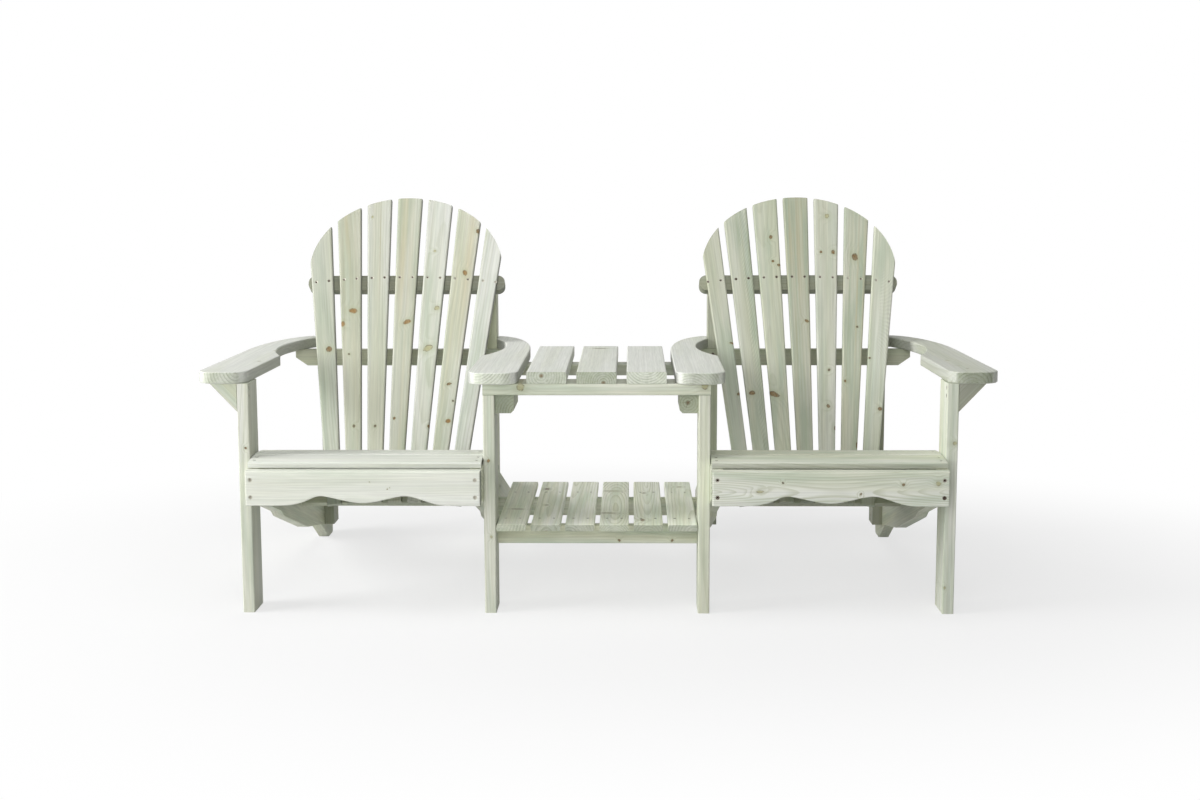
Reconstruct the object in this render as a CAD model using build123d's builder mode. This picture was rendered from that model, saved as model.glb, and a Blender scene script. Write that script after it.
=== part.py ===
"""Double adirondack chair: two reclined garden chairs joined by a slatted table with a shelf below.

Sizes are in millimetres. X runs along the width, Y from front to back and Z up. The origin is on the
ground, in the middle of the footprint. A depth is measured back from the front faces of the legs. The
chair on the negative X side is the left one, and the two chairs mirror each other.
"""
import os
from math import cos, radians, sin, tan

from build123d import *

# Timber stock
board = 28.0  # thickness of legs, arms, stringers, posts and rails
slat_thickness = 15.0  # thickness of back, seat and shelf slats
slat_width = 70.0  # width of seat and shelf slats
batten_width = 45.0  # wide side of the thin rails, and both sides of the corner blocks
edge_round = 3.0  # planed corner along the stock
slat_ease = 4.5  # planed corner along the back slats

# Layout of the whole
table_clear = 486.0  # between the two inner legs
seat_clear = 559.0  # between the two legs of one chair
arm_underside = 559.0  # height of the arms' and table slats' underside
apron_reach = 70.0  # apron face in front of the legs
foot_end = 915.0  # depth of the stringers' rear ends

# Legs and arm brackets
leg_width = 95.0
bracket_width = 63.0
bracket_height = 67.0

# Seat: its slats follow a crown at the front and then a straight fall
seat_slope = 17.2  # degrees of the straight part
crown_radius = 540.0
crown_depth = 56.0  # depth of the crown's highest point
crown_height = 367.0  # height of the slats' underside there
seat_slat_count = 7
seat_slat_gap = 7.0
first_slat_from_crown = 56.0  # middle of the first slat in front of the crown's highest point
slat_end_gap = 2.0  # each end of a seat slat or apron to the leg beside it

# Stringers: a sawn step near the front and a notch before the rear foot
stringer_width = 141.0
step_rise = 10.0
step_front = 200.0
step_back = 245.0
notch_front = 538.0
notch_peak = 735.0
notch_rise = 25.0
foot_round = 12.0
notch_round = 25.0

# Apron with two scallops
apron_height = 83.0
apron_drop = 7.0  # top of the apron below the highest part of the slats' underside
scallop_rise = 23.0
scallop_dip = 6.5
scallop_crest = 104.0  # from the middle
scallop_end = 206.0  # from the middle

# Arms: a paddle with a hollow on the sitter's side and a rounded tail against the back post
arm_width = 119.0
arm_reach = 20.0  # inner arm in front of the legs
outer_arm_shift = 15.0  # outer arm further back than the inner one
arm_front_round = 40.0
arm_tail_start = 480.0
arm_tail_overhang = 9.0  # arm past the back of the post
hollow_start = 350.0
hollow_end = 805.0
hollow_rise = 48.0
inner_arm_lap = 35.0  # inner arm past the leg towards the sitter
outer_arm_back = 5.0  # outer arm's edge behind the leg's chair face
outer_arm_turn = 1.2  # degrees that the outer arm's tail turns inwards

# Back posts and the cross rails on them
post_front = 786.0
post_width = 70.0
post_bottom = 50.0
upper_rail_bottom = 713.0  # height where the upper rail starts on the posts
upper_rail_length = 554.0
upper_rail_round = 20.0
arm_rail_length = 632.0
arm_rail_cut_x = 33.0
arm_rail_cut_z = 23.0
lower_rail_width = 70.0

# Fan of back slats, in the plane of their rear faces, measured up from the upper rail's lower edge
recline = 29.0  # degrees from upright
back_slat_count = 7
fan_step = 2.17  # degrees between slats
fan_pivot = 2038.0  # the point that the slats fan from, below the upper rail
slat_foot = 626.0  # the slats' lower ends, below the upper rail
slat_foot_width = 38.0
slat_head_width = 71.0
saw_allowance = 26.0  # of a slat above the top of the arch, before the arch is sawn
end_slat_trim = 14.0  # ripped off the head of the slat nearest the table
arch_centre = 60.0
arch_half_width = 272.0
arch_rise = 223.0
arch_shift = 2.0  # middle of the arch from the middle of the fan, away from the table

# Table and shelf
table_slat_count = 3
table_slat_width = 95.0
table_slat_gap = 24.0
table_slat_length = 582.0
table_back_rail_depth = 386.0
table_back_rail_width = 70.0
block_length = 155.0
block_set_back = 15.0
block_cut = 7.0
shelf_top = 217.0
shelf_length = 560.0
shelf_slat_count = 6
shelf_side_gap = 1.5
shelf_front_rail_depth = 67.0
shelf_back_rail_depth = 400.0

# Screws
slat_screw = 4.0
slat_screw_head = 8.0
slat_screw_length = 35.0
frame_screw = 5.0
frame_screw_head = 10.0
frame_screw_length = 50.0
screw_tip = 4.0
head_sink = 0.6  # heads below the face
screw_play = 0.2  # hole radius over screw radius
countersink = 90.0  # degrees
arm_bite = 15.0  # frame screws from below into an arm

# Places worked out from the sizes above
leg_front = (apron_reach - foot_end) / 2
inner_face = table_clear / 2 + board  # chair face of an inner leg
outer_face = inner_face + seat_clear  # chair face of an outer leg
chair_middle = (inner_face + outer_face) / 2
stringer_middles = (inner_face + board / 2, outer_face - board / 2)
post_middles = (inner_face + 1.5 * board, outer_face - 1.5 * board)
inner_leg_top = arm_underside - board
apron_back = board - apron_reach
apron_top = crown_height - apron_drop
apron_bottom = apron_top - apron_height
apron_length = seat_clear - 2 * slat_end_gap
arm_edge = inner_face + inner_arm_lap
slope = radians(seat_slope)
lean = radians(recline)
knee_depth = crown_depth + crown_radius * sin(slope)
knee_height = crown_height - crown_radius * (1 - cos(slope))
seat_pitch = slat_width + seat_slat_gap
table_pitch = table_slat_width + table_slat_gap
shelf_pitch = (table_clear - 2 * shelf_side_gap - slat_width) / (shelf_slat_count - 1)
shelf_underside = shelf_top - slat_thickness
shelf_rail_bottom = shelf_underside - batten_width
front_rail_middle = leg_width / 2
back_rail_middle = table_back_rail_depth + table_back_rail_width / 2
post_middle_depth = post_front + post_width / 2
arm_rail_bottom = arm_underside - batten_width
arm_rail_front = post_front - board
arm_tail_end = post_front + post_width + arm_tail_overhang
slat_length = slat_foot + arch_centre + arch_rise + saw_allowance
arm_screw_start = arm_underside + arm_bite - frame_screw_length

slat_spots = []  # every slat screw, as a plane at its head that faces out of the wood
frame_spots = []  # every frame screw, likewise


def at(depth):
    """Y of a depth behind the front faces of the legs."""
    return leg_front + depth


def spot(x, depth, height, outwards):
    """A screw's place: the middle of its head, facing outwards."""
    return Plane(origin=(x, at(depth), height), z_dir=outwards)


def pair(middle, half):
    """Two positions either side of a middle."""
    return (middle - half, middle + half)


def sunk(spots):
    """The same places, moved into the wood so that the heads lie below its face."""
    return [place.offset(-head_sink) for place in spots]


def drill_slat_screws(spots):
    """Countersunk holes for slat screws in the part being built."""
    with Locations(*sunk(spots)):
        CounterSinkHole(slat_screw / 2 + screw_play, slat_screw_head / 2 + screw_play,
                        slat_screw_length + screw_play, countersink)


def drill_frame_screws(spots):
    """Countersunk holes for frame screws in the part being built."""
    with Locations(*sunk(spots)):
        CounterSinkHole(frame_screw / 2 + screw_play, frame_screw_head / 2 + screw_play,
                        frame_screw_length + screw_play, countersink)


def finish(builder, name):
    """Labels a finished piece and writes it."""
    builder.part.label = name
    export_step(builder.part, f"parts/{name}.step")


def lower_edge(depth):
    """Height of a stringer's straight lower edge."""
    return knee_height - (depth - knee_depth) * tan(slope) - stringer_width / cos(slope)


def seat_place(run):
    """Depth, height and fall of the seat line at a run along it from the crown."""
    if run < crown_radius * slope:
        fall = run / crown_radius
        depth = crown_depth + crown_radius * sin(fall)
        height = crown_height - crown_radius * (1 - cos(fall))
        return depth, height, fall
    straight = run - crown_radius * slope
    return knee_depth + straight * cos(slope), knee_height - straight * sin(slope), slope


def seat_plane(index, side):
    """Underside of one seat slat: x along the chair's width, y back along the seat, z out of the seat."""
    depth, height, fall = seat_place(index * seat_pitch - first_slat_from_crown)
    return Plane(origin=(side * chair_middle, at(depth), height), x_dir=(1, 0, 0),
                 z_dir=(0, sin(fall), cos(fall)))


def rest_plane(side):
    """Rear faces of the back slats: x along the width, y up the slats, z towards the sitter."""
    post_face = Plane(origin=(side * chair_middle, at(post_front), upper_rail_bottom), x_dir=(1, 0, 0),
                      z_dir=(0, -cos(lean), sin(lean)))
    return post_face.offset(board)


def on_plane(plane, x, y, rise=0.0):
    """A screw's place on a plane, given in that plane's own x and y."""
    return Plane(origin=plane.from_local_coords((x, y, rise)), x_dir=plane.x_dir, z_dir=plane.z_dir)


def seat_slat_spots(side):
    """Two screws at each end of each seat slat, into the stringers."""
    spots = []
    for index in range(seat_slat_count):
        for middle in stringer_middles:
            for across in pair(0, slat_width / 4 - edge_round):
                x = side * (middle - chair_middle)
                spots.append(on_plane(seat_plane(index, side), x, across, slat_thickness))
    return spots


def fan_point(index, up, across=0.0):
    """A point on one back slat in the rest plane, up from the rail and across from the slat's middle."""
    turn = radians(index * fan_step)
    radius = fan_pivot + up
    return (radius * sin(turn) + across * cos(turn), radius * cos(turn) - fan_pivot - across * sin(turn))


def back_slat_spots(side, index):
    """Two screws into the upper rail and two into the lower rail for one back slat."""
    upper = batten_width * 0.75
    lower = lower_rail_width / 2 - slat_foot
    spots = []
    for up, half in ((upper, slat_head_width / 4), (lower, slat_foot_width / 4)):
        for across in pair(0, half):
            x, y = fan_point(index, up, across)
            spots.append(on_plane(rest_plane(side), x, y, slat_thickness))
    return spots


def lower_rail_spots(side):
    """Two screws through each stringer into the lower back rail's ends."""
    rail = rest_plane(side).offset(-board / 2)
    spots = []
    for across in pair(lower_rail_width / 2 - slat_foot, lower_rail_width / 4):
        middle = rail.from_local_coords((0, across, 0))
        for face, outwards in ((inner_face, -side), (outer_face, side)):
            spots.append(Plane(origin=(side * face, middle.Y, middle.Z), z_dir=(outwards, 0, 0)))
    return spots


shelf_rail_heights = pair(shelf_rail_bottom + batten_width / 4, batten_width / 8)
apron_spots = {}
leg_spots = {}
post_spots = {}
arm_rail_spots = {}
upper_rail_spots = {}
shelf_rail_spots = {}
block_spots = {}
bracket_spots = {}
arm_spots = {}
table_rail_spots = {}
for side in (-1, 1):
    apron_spots[side] = [
        spot(side * x, -apron_reach, z, (0, -1, 0))
        for x in stringer_middles for z in pair(apron_top - apron_height / 2, apron_height / 4)]
    # From inside the seat frame through the stringers into the legs, and through the posts
    inwards = ((inner_face + board, side), (outer_face - board, -side))
    leg_spots[side] = [
        spot(side * x, depth, crown_height - stringer_width / 3, (facing, 0, 0))
        for x, facing in inwards for depth in pair(leg_width / 2, leg_width / 4)]
    post_inwards = ((inner_face + 2 * board, side), (outer_face - 2 * board, -side))
    post_spots[side] = [
        spot(side * x, post_middle_depth, z, (facing, 0, 0))
        for x, facing in post_inwards for z in pair(post_bottom + batten_width, batten_width / 2)]
    arm_spots[side] = [
        spot(side * x, depth, arm_underside + board / 2, (facing, 0, 0))
        for x, facing in post_inwards for depth in pair(post_front + 0.75 * post_width, board / 4)]
    arm_rail_spots[side] = [
        spot(side * x, arm_rail_front, z, (0, -1, 0))
        for x in post_middles for z in pair(arm_rail_bottom + batten_width / 2, batten_width / 5)]
    # From below into the arms' tails, clear of the rail's sawn ends
    tail_reach = arm_rail_length / 2 - 2 * arm_rail_cut_x / 3
    arm_rail_spots[side] += [
        spot(side * x, arm_rail_front + board / 2, arm_screw_start, (0, 0, -1))
        for x in pair(chair_middle, tail_reach)]
    upper_rail_spots[side] = [
        on_plane(rest_plane(side), side * (x - chair_middle), batten_width / 2)
        for x in post_middles]
    shelf_rail_spots[side] = [
        spot(side * face, depth + board / 2, z, (side, 0, 0))
        for face, depth in ((inner_face, shelf_front_rail_depth), (inner_face + board, shelf_back_rail_depth))
        for z in shelf_rail_heights]
    # Corner blocks: from the leg, down through the table rail, and up into the arm
    block_x = side * (inner_face - board - batten_width / 2)
    block_spots[side] = [
        spot(side * inner_face, leg_width / 2, z, (side, 0, 0))
        for z in pair(inner_leg_top - batten_width / 2, batten_width / 6)]
    block_spots[side].append(spot(block_x, leg_width * 0.75, arm_underside, (0, 0, 1)))
    block_spots[side].append(spot(block_x, leg_width * 0.25, arm_screw_start, (0, 0, -1)))
    bracket_spots[side] = [
        spot(side * outer_face, board / 2, arm_underside - drop, (-side, 0, 0))
        for drop in (bracket_height / 6, bracket_height * 0.45)]
    bracket_spots[side].append(
        spot(side * (outer_face + board + bracket_width / 2), board / 2, arm_screw_start + arm_bite / 5,
             (0, 0, -1)))
    table_rail_spots[side] = [
        spot(side * (inner_face - board / 2), depth, arm_underside, (0, 0, 1))
        for depth in pair(leg_width / 2, leg_width / 4)]
    table_rail_spots[side] += [
        spot(side * (arm_edge - arm_width / 2), depth, inner_leg_top, (0, 0, -1))
        for depth in pair(back_rail_middle, table_back_rail_width / 4)]
    for group in (apron_spots, leg_spots, post_spots, arm_spots, arm_rail_spots, upper_rail_spots,
                  shelf_rail_spots, block_spots, bracket_spots, table_rail_spots):
        frame_spots += group[side]
    frame_spots += lower_rail_spots(side)
    slat_spots += seat_slat_spots(side)

fan_indexes = [k - (back_slat_count - 1) // 2 for k in range(back_slat_count)]
for side in (-1, 1):
    for index in fan_indexes:
        slat_spots += back_slat_spots(side, index)

table_slat_middles = [(k - (table_slat_count - 1) / 2) * table_pitch for k in range(table_slat_count)]
table_slat_spots = [
    spot(x, depth, inner_leg_top, (0, 0, -1))
    for middle in table_slat_middles for x in pair(middle, table_slat_width / 4)
    for depth in (front_rail_middle, back_rail_middle)]
frame_spots += table_slat_spots

shelf_slat_middles = [(k - (shelf_slat_count - 1) / 2) * shelf_pitch for k in range(shelf_slat_count)]
shelf_slat_spots = [
    spot(x, depth + board / 2, shelf_top, (0, 0, 1))
    for middle in shelf_slat_middles for x in pair(middle, slat_width / 4)
    for depth in (shelf_front_rail_depth, shelf_back_rail_depth)]
slat_spots += shelf_slat_spots

os.makedirs("parts", exist_ok=True)


def make_leg(name, middle, height, frame_holes):
    """An upright front leg."""
    with BuildPart() as leg:
        with BuildSketch(Plane.XY) as section:
            with Locations((middle, at(leg_width / 2))):
                RectangleRounded(board, leg_width, edge_round)
        extrude(amount=height)
        drill_frame_screws(frame_holes)
    finish(leg, name)


def make_stringer(name, middle, frame_holes, slat_holes):
    """A side board of the seat that runs back and down to a foot on the ground."""
    front_sine = (apron_back - crown_depth) / crown_radius
    front_height = crown_height - crown_radius * (1 - (1 - front_sine**2) ** 0.5)
    floor_depth = knee_depth + (knee_height - stringer_width / cos(slope)) / tan(slope)
    up_slope = (-cos(slope), sin(slope))
    step_top = (at(step_front), lower_edge(step_front) + step_rise)
    step_bottom = (at(step_back), lower_edge(step_back))
    front_bottom = (at(apron_back), lower_edge(apron_back) + step_rise)
    with BuildPart() as stringer:
        with BuildSketch(Plane.YZ.offset(middle - board / 2)) as outline:
            with BuildLine():
                ThreePointArc((at(apron_back), front_height), (at(crown_depth), crown_height),
                              (at(knee_depth), knee_height))
                FilletPolyline(
                    (at(knee_depth), knee_height),
                    (at(foot_end), knee_height - (foot_end - knee_depth) * tan(slope)),
                    (at(foot_end), 0),
                    (at(floor_depth), 0),
                    (at(notch_peak), lower_edge(notch_peak) + notch_rise),
                    (at(notch_front), lower_edge(notch_front)),
                    step_bottom,
                    radius=[foot_round, foot_round, foot_round, notch_round, notch_round])
                Spline(step_bottom, step_top, tangents=(up_slope, up_slope))
                Polyline(step_top, front_bottom, (at(apron_back), front_height))
            make_face()
        extrude(amount=board)
        drill_frame_screws(frame_holes)
        drill_slat_screws(slat_holes)
    finish(stringer, name)


def make_post(name, middle, frame_holes):
    """An upright back post whose head is sawn to the lean of the back."""
    top = upper_rail_bottom + batten_width * cos(lean)
    cut = post_front + batten_width * sin(lean)
    with BuildPart() as post:
        with BuildSketch(Plane.YZ.offset(middle - board / 2)) as outline:
            with BuildLine():
                Polyline((at(post_front), post_bottom), (at(post_front + post_width), post_bottom),
                         (at(post_front + post_width), top), (at(cut), top),
                         (at(post_front), upper_rail_bottom), close=True)
            make_face()
        extrude(amount=board)
        drill_frame_screws(frame_holes)
    finish(post, name)


def make_arm(name, side, outer, frame_holes):
    """An arm, drawn from its sitter's edge outwards and from the leg backwards."""
    outwards = side if outer else -side
    turn = radians(outer_arm_turn) if outer else 0.0
    edge = outer_face + outer_arm_back if outer else arm_edge
    post_side = outer_face - board if outer else inner_face + board
    shift = outer_arm_shift if outer else 0.0
    plane = Plane(origin=(side * edge, at(shift), arm_underside),
                  x_dir=(outwards * cos(turn), sin(turn), 0), z_dir=(0, 0, outwards))
    tail = edge - post_side if outer else 0.0
    with BuildPart() as arm:
        with BuildSketch(plane) as outline:
            with BuildLine():
                FilletPolyline((arm_width, arm_tail_start), (arm_width, -arm_reach), (0, -arm_reach),
                               (0, hollow_start), radius=arm_front_round)
                ThreePointArc((0, hollow_start), (hollow_rise, (hollow_start + hollow_end) / 2),
                              (0, hollow_end))
                if tail > 0:
                    Polyline((0, hollow_end), (-tail, hollow_end), (-tail, arm_tail_end), (0, arm_tail_end))
                else:
                    Line((0, hollow_end), (0, arm_tail_end))
                EllipticalCenterArc((0, arm_tail_start), arm_width, arm_tail_end - arm_tail_start,
                                    start_angle=0, arc_size=90)
            make_face()
        extrude(amount=outwards * board)
        # The tail ends flat against the side of the post
        with BuildSketch(Plane.XY.offset(arm_underside)) as beyond:
            with Locations((side * (post_side + outwards * side * -board), at(arm_tail_end - post_width))):
                Rectangle(2 * board, 4 * post_width)
        extrude(amount=board, mode=Mode.SUBTRACT)
        fillet(arm.faces().sort_by(Axis.Z)[-1].edges(), edge_round)
        fillet(arm.faces().sort_by(Axis.Z)[0].edges(), edge_round)
        drill_frame_screws(frame_holes)
    finish(arm, name)


def make_bracket(name, side, frame_holes):
    """A three-cornered block under the outer arm, on the outside of the leg."""
    leg_side = side * (outer_face + board)
    with BuildPart() as bracket:
        with BuildSketch(Plane.XZ.offset(-leg_front)) as outline:
            with BuildLine():
                Polyline((leg_side, arm_underside), (leg_side + side * bracket_width, arm_underside),
                         (leg_side, arm_underside - bracket_height), close=True)
            make_face()
        extrude(amount=-board)
        drill_frame_screws(frame_holes)
    finish(bracket, name)


def make_apron(name, side, frame_holes):
    """The scalloped board across the front of the seat."""
    middle = side * chair_middle
    end = apron_length / 2
    with BuildPart() as apron:
        with BuildSketch(Plane.XZ.offset(-at(-apron_reach))) as outline:
            with BuildLine():
                Polyline((middle - scallop_end, apron_bottom), (middle - end, apron_bottom),
                         (middle - end, apron_top), (middle + end, apron_top),
                         (middle + end, apron_bottom), (middle + scallop_end, apron_bottom))
                Spline((middle + scallop_end, apron_bottom),
                       (middle + scallop_crest, apron_bottom + scallop_rise),
                       (middle, apron_bottom + scallop_dip),
                       (middle - scallop_crest, apron_bottom + scallop_rise),
                       (middle - scallop_end, apron_bottom), tangents=((-1, 0), (-1, 0)))
            make_face()
        extrude(amount=-board)
        fillet(apron.faces().sort_by(Axis.Y)[0].edges(), edge_round)
        drill_frame_screws(frame_holes)
    finish(apron, name)


def make_upper_rail(name, side, frame_holes, slat_holes):
    """The rail behind the back slats near their heads, leaning with them."""
    with BuildPart() as rail:
        with BuildSketch(rest_plane(side)) as outline:
            with Locations((0, batten_width / 2)):
                RectangleRounded(upper_rail_length, batten_width, upper_rail_round)
        extrude(amount=-board)
        drill_frame_screws(frame_holes)
        drill_slat_screws(slat_holes)
    finish(rail, name)


def make_lower_rail(name, side, frame_holes, slat_holes):
    """The rail between the stringers that the feet of the back slats are screwed to."""
    with BuildPart() as rail:
        with BuildSketch(rest_plane(side)) as outline:
            with Locations((0, lower_rail_width / 2 - slat_foot)):
                Rectangle(seat_clear - 2 * board, lower_rail_width)
        extrude(amount=-board)
        drill_frame_screws(frame_holes)
        drill_slat_screws(slat_holes)
    finish(rail, name)


def make_arm_rail(name, side, frame_holes):
    """The upright rail on the posts that carries the arms' tails, with its lower corners sawn off."""
    middle = side * chair_middle
    end = arm_rail_length / 2
    with BuildPart() as rail:
        with BuildSketch(Plane.XZ.offset(-at(arm_rail_front))) as outline:
            with BuildLine():
                Polyline((middle - end, arm_underside), (middle + end, arm_underside),
                         (middle + end, arm_rail_bottom + arm_rail_cut_z),
                         (middle + end - arm_rail_cut_x, arm_rail_bottom),
                         (middle - end + arm_rail_cut_x, arm_rail_bottom),
                         (middle - end, arm_rail_bottom + arm_rail_cut_z), close=True)
            make_face()
        extrude(amount=-board)
        drill_frame_screws(frame_holes)
    finish(rail, name)


def make_back_slat(name, side, index, slat_holes):
    """One slat of the fan: its long front corners are eased, then its head is sawn to the common arch."""
    towards_table = -side if abs(index) == fan_indexes[-1] and index * side < 0 else 0
    left_half = slat_head_width / 2 - (end_slat_trim if towards_table < 0 else 0)
    right_half = slat_head_width / 2 - (end_slat_trim if towards_table > 0 else 0)
    with BuildPart() as slat:
        with BuildSketch(rest_plane(side)) as outline:
            with BuildLine():
                Polyline(fan_point(index, -slat_foot, -slat_foot_width / 2),
                         fan_point(index, -slat_foot, slat_foot_width / 2),
                         fan_point(index, slat_length - slat_foot, right_half),
                         fan_point(index, slat_length - slat_foot, -left_half), close=True)
            make_face()
        extrude(amount=slat_thickness)
        front = slat.faces().sort_by(Axis(rest_plane(side).origin, rest_plane(side).z_dir))[-1]
        fillet(front.edges().sort_by(SortBy.LENGTH)[-2:], slat_ease)
        with BuildSketch(rest_plane(side)) as arch:
            with Locations((side * arch_shift, arch_centre)):
                Ellipse(arch_half_width, arch_rise)
            with Locations((0, arch_centre - slat_length / 2)):
                Rectangle(3 * arch_half_width, slat_length)
        extrude(amount=slat_thickness, mode=Mode.INTERSECT)
        drill_slat_screws(slat_holes)
    finish(slat, name)


def make_seat_slats(name, side, slat_holes):
    """The slats of one seat, each tangent to the seat line."""
    with BuildPart() as slats:
        for index in range(seat_slat_count):
            under = seat_plane(index, side)
            end = under.from_local_coords((-apron_length / 2, 0, slat_thickness / 2))
            with BuildSketch(Plane(origin=end, x_dir=under.y_dir, z_dir=under.x_dir)) as section:
                RectangleRounded(slat_width, slat_thickness, edge_round)
            extrude(amount=apron_length)
        drill_slat_screws(slat_holes)
    finish(slats, name)


def make_cross_board(name, length, depth, width, bottom, height, frame_holes, slat_holes=()):
    """A straight board across the table, from one side to the other."""
    with BuildPart() as rail:
        with BuildSketch(Plane.YZ.offset(-length / 2)) as section:
            with Locations((at(depth + width / 2), bottom + height / 2)):
                RectangleRounded(width, height, edge_round)
        extrude(amount=length)
        drill_frame_screws(frame_holes)
        if slat_holes:
            drill_slat_screws(slat_holes)
    finish(rail, name)


def make_block(name, side, frame_holes):
    """A corner block between an inner leg and the table's front rail."""
    middle = side * (inner_face - board - batten_width / 2)
    with BuildPart() as block:
        with BuildSketch(Plane.XZ.offset(-at(block_set_back))) as section:
            with Locations((middle, inner_leg_top - batten_width / 2)):
                Rectangle(batten_width, batten_width)
            low_table_corner = section.vertices().group_by(Axis.Y)[0].sort_by(Axis.X)[0 if side > 0 else -1]
            chamfer(low_table_corner, block_cut)
        extrude(amount=-block_length)
        drill_frame_screws(frame_holes)
    finish(block, name)


def make_table_slat(name, middle, frame_holes):
    """One slat of the table top."""
    with BuildPart() as slat:
        with BuildSketch(Plane.XZ.offset(-leg_front)) as section:
            with Locations((middle, arm_underside + board / 2)):
                RectangleRounded(table_slat_width, board, edge_round)
        extrude(amount=-table_slat_length)
        drill_frame_screws(frame_holes)
    finish(slat, name)


def make_shelf_slat(name, middle, slat_holes):
    """One slat of the shelf."""
    with BuildPart() as slat:
        with BuildSketch(Plane.XZ.offset(-leg_front)) as section:
            with Locations((middle, shelf_underside + slat_thickness / 2)):
                RectangleRounded(slat_width, slat_thickness, edge_round)
        extrude(amount=-shelf_length)
        drill_slat_screws(slat_holes)
    finish(slat, name)


def make_screws(name, spots, diameter, head, length):
    """Countersunk screws with blunt points, one in each of the drilled holes."""
    head_height = (head - diameter) / 2
    with BuildPart() as screw:
        with BuildSketch(Plane.XZ) as section:
            with BuildLine():
                Polyline((0, 0), (head / 2, 0), (diameter / 2, -head_height),
                         (diameter / 2, screw_tip - length), (0, -length), close=True)
            make_face()
        revolve(axis=Axis.Z)
    with BuildPart() as screws:
        with Locations(*sunk(spots)):
            add(screw.part)
    finish(screws, name)


for side, chair in ((-1, "left"), (1, "right")):
    inner_x, outer_x = inner_face - board / 2, outer_face + board / 2
    inner_string_x, outer_string_x = stringer_middles
    inner_post_x, outer_post_x = post_middles
    make_leg(f"{chair}_outer_front_leg", side * outer_x, arm_underside,
             leg_spots[side] + bracket_spots[side])
    make_leg(f"{chair}_inner_front_leg", side * inner_x, inner_leg_top,
             leg_spots[side] + shelf_rail_spots[side] + block_spots[side] + table_rail_spots[side])
    stringer_holes = apron_spots[side] + leg_spots[side] + post_spots[side] + lower_rail_spots(side)
    make_stringer(f"{chair}_outer_stringer", side * outer_string_x, stringer_holes, seat_slat_spots(side))
    make_stringer(f"{chair}_inner_stringer", side * inner_string_x,
                  stringer_holes + shelf_rail_spots[side][2:], seat_slat_spots(side))
    post_holes = post_spots[side] + arm_spots[side] + arm_rail_spots[side] + upper_rail_spots[side]
    make_post(f"{chair}_outer_back_post", side * outer_post_x, post_holes)
    make_post(f"{chair}_inner_back_post", side * inner_post_x, post_holes)
    make_arm(f"{chair}_outer_arm", side, True,
             arm_spots[side] + arm_rail_spots[side][4:] + bracket_spots[side][2:])
    make_arm(f"{chair}_inner_arm", side, False,
             arm_spots[side] + arm_rail_spots[side][4:] + block_spots[side][3:] + table_rail_spots[side][2:])
    make_bracket(f"{chair}_arm_bracket", side, bracket_spots[side])
    make_apron(f"{chair}_apron", side, apron_spots[side])
    fan_spots = [place for index in fan_indexes for place in back_slat_spots(side, index)]
    make_upper_rail(f"{chair}_upper_back_rail", side, upper_rail_spots[side], fan_spots)
    make_arm_rail(f"{chair}_arm_back_rail", side, arm_rail_spots[side])
    make_lower_rail(f"{chair}_lower_back_rail", side, lower_rail_spots(side), fan_spots)
    for number, index in enumerate(fan_indexes, start=1):
        make_back_slat(f"{chair}_back_slat_{number}", side, index, back_slat_spots(side, index))
    make_seat_slats(f"{chair}_seat_slats", side, seat_slat_spots(side))
    make_block(f"{chair}_corner_block", side, block_spots[side])

top_rail_holes = table_slat_spots + table_rail_spots[-1] + table_rail_spots[1]
make_cross_board("table_front_rail", 2 * inner_face, 0, leg_width, inner_leg_top, board,
                 top_rail_holes + block_spots[-1][2:] + block_spots[1][2:])
make_cross_board("table_back_rail", 2 * inner_face, table_back_rail_depth, table_back_rail_width,
                 inner_leg_top, board, top_rail_holes)
shelf_rail_holes = shelf_rail_spots[-1] + shelf_rail_spots[1]
make_cross_board("shelf_front_rail", table_clear, shelf_front_rail_depth, board, shelf_rail_bottom,
                 batten_width, shelf_rail_holes, shelf_slat_spots)
make_cross_board("shelf_back_rail", 2 * inner_face, shelf_back_rail_depth, board, shelf_rail_bottom,
                 batten_width, shelf_rail_holes, shelf_slat_spots)
for number, middle in enumerate(table_slat_middles, start=1):
    make_table_slat(f"table_slat_{number}", middle, table_slat_spots)
for number, middle in enumerate(shelf_slat_middles, start=1):
    make_shelf_slat(f"shelf_slat_{number}", middle, shelf_slat_spots)
make_screws("slat_screws", slat_spots, slat_screw, slat_screw_head, slat_screw_length)
make_screws("frame_screws", frame_spots, frame_screw, frame_screw_head, frame_screw_length)
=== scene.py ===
import random
from functools import partial
from math import cos, pi, radians, sin

import bmesh
import bpy
from mathutils import Matrix, Vector


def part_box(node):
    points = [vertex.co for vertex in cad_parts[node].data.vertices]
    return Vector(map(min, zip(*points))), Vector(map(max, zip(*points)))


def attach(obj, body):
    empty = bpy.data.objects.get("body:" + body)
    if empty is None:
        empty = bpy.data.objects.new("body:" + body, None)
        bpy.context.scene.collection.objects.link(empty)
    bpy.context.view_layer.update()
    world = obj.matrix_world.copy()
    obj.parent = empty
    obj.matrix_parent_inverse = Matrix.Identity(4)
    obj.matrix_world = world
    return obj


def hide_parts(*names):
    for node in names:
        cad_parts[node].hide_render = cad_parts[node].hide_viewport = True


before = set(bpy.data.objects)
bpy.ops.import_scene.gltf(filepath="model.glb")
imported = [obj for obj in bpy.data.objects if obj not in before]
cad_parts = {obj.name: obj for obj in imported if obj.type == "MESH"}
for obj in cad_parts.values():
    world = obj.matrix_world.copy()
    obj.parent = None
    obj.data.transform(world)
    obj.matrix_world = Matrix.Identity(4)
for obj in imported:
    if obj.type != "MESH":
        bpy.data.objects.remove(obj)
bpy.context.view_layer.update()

# Dresses the double adirondack chair: every board gets its own treated pine, the screws get dulled zinc,
# and a plain pale studio is set round them. Lengths are in metres unless a name or comment says otherwise.

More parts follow.
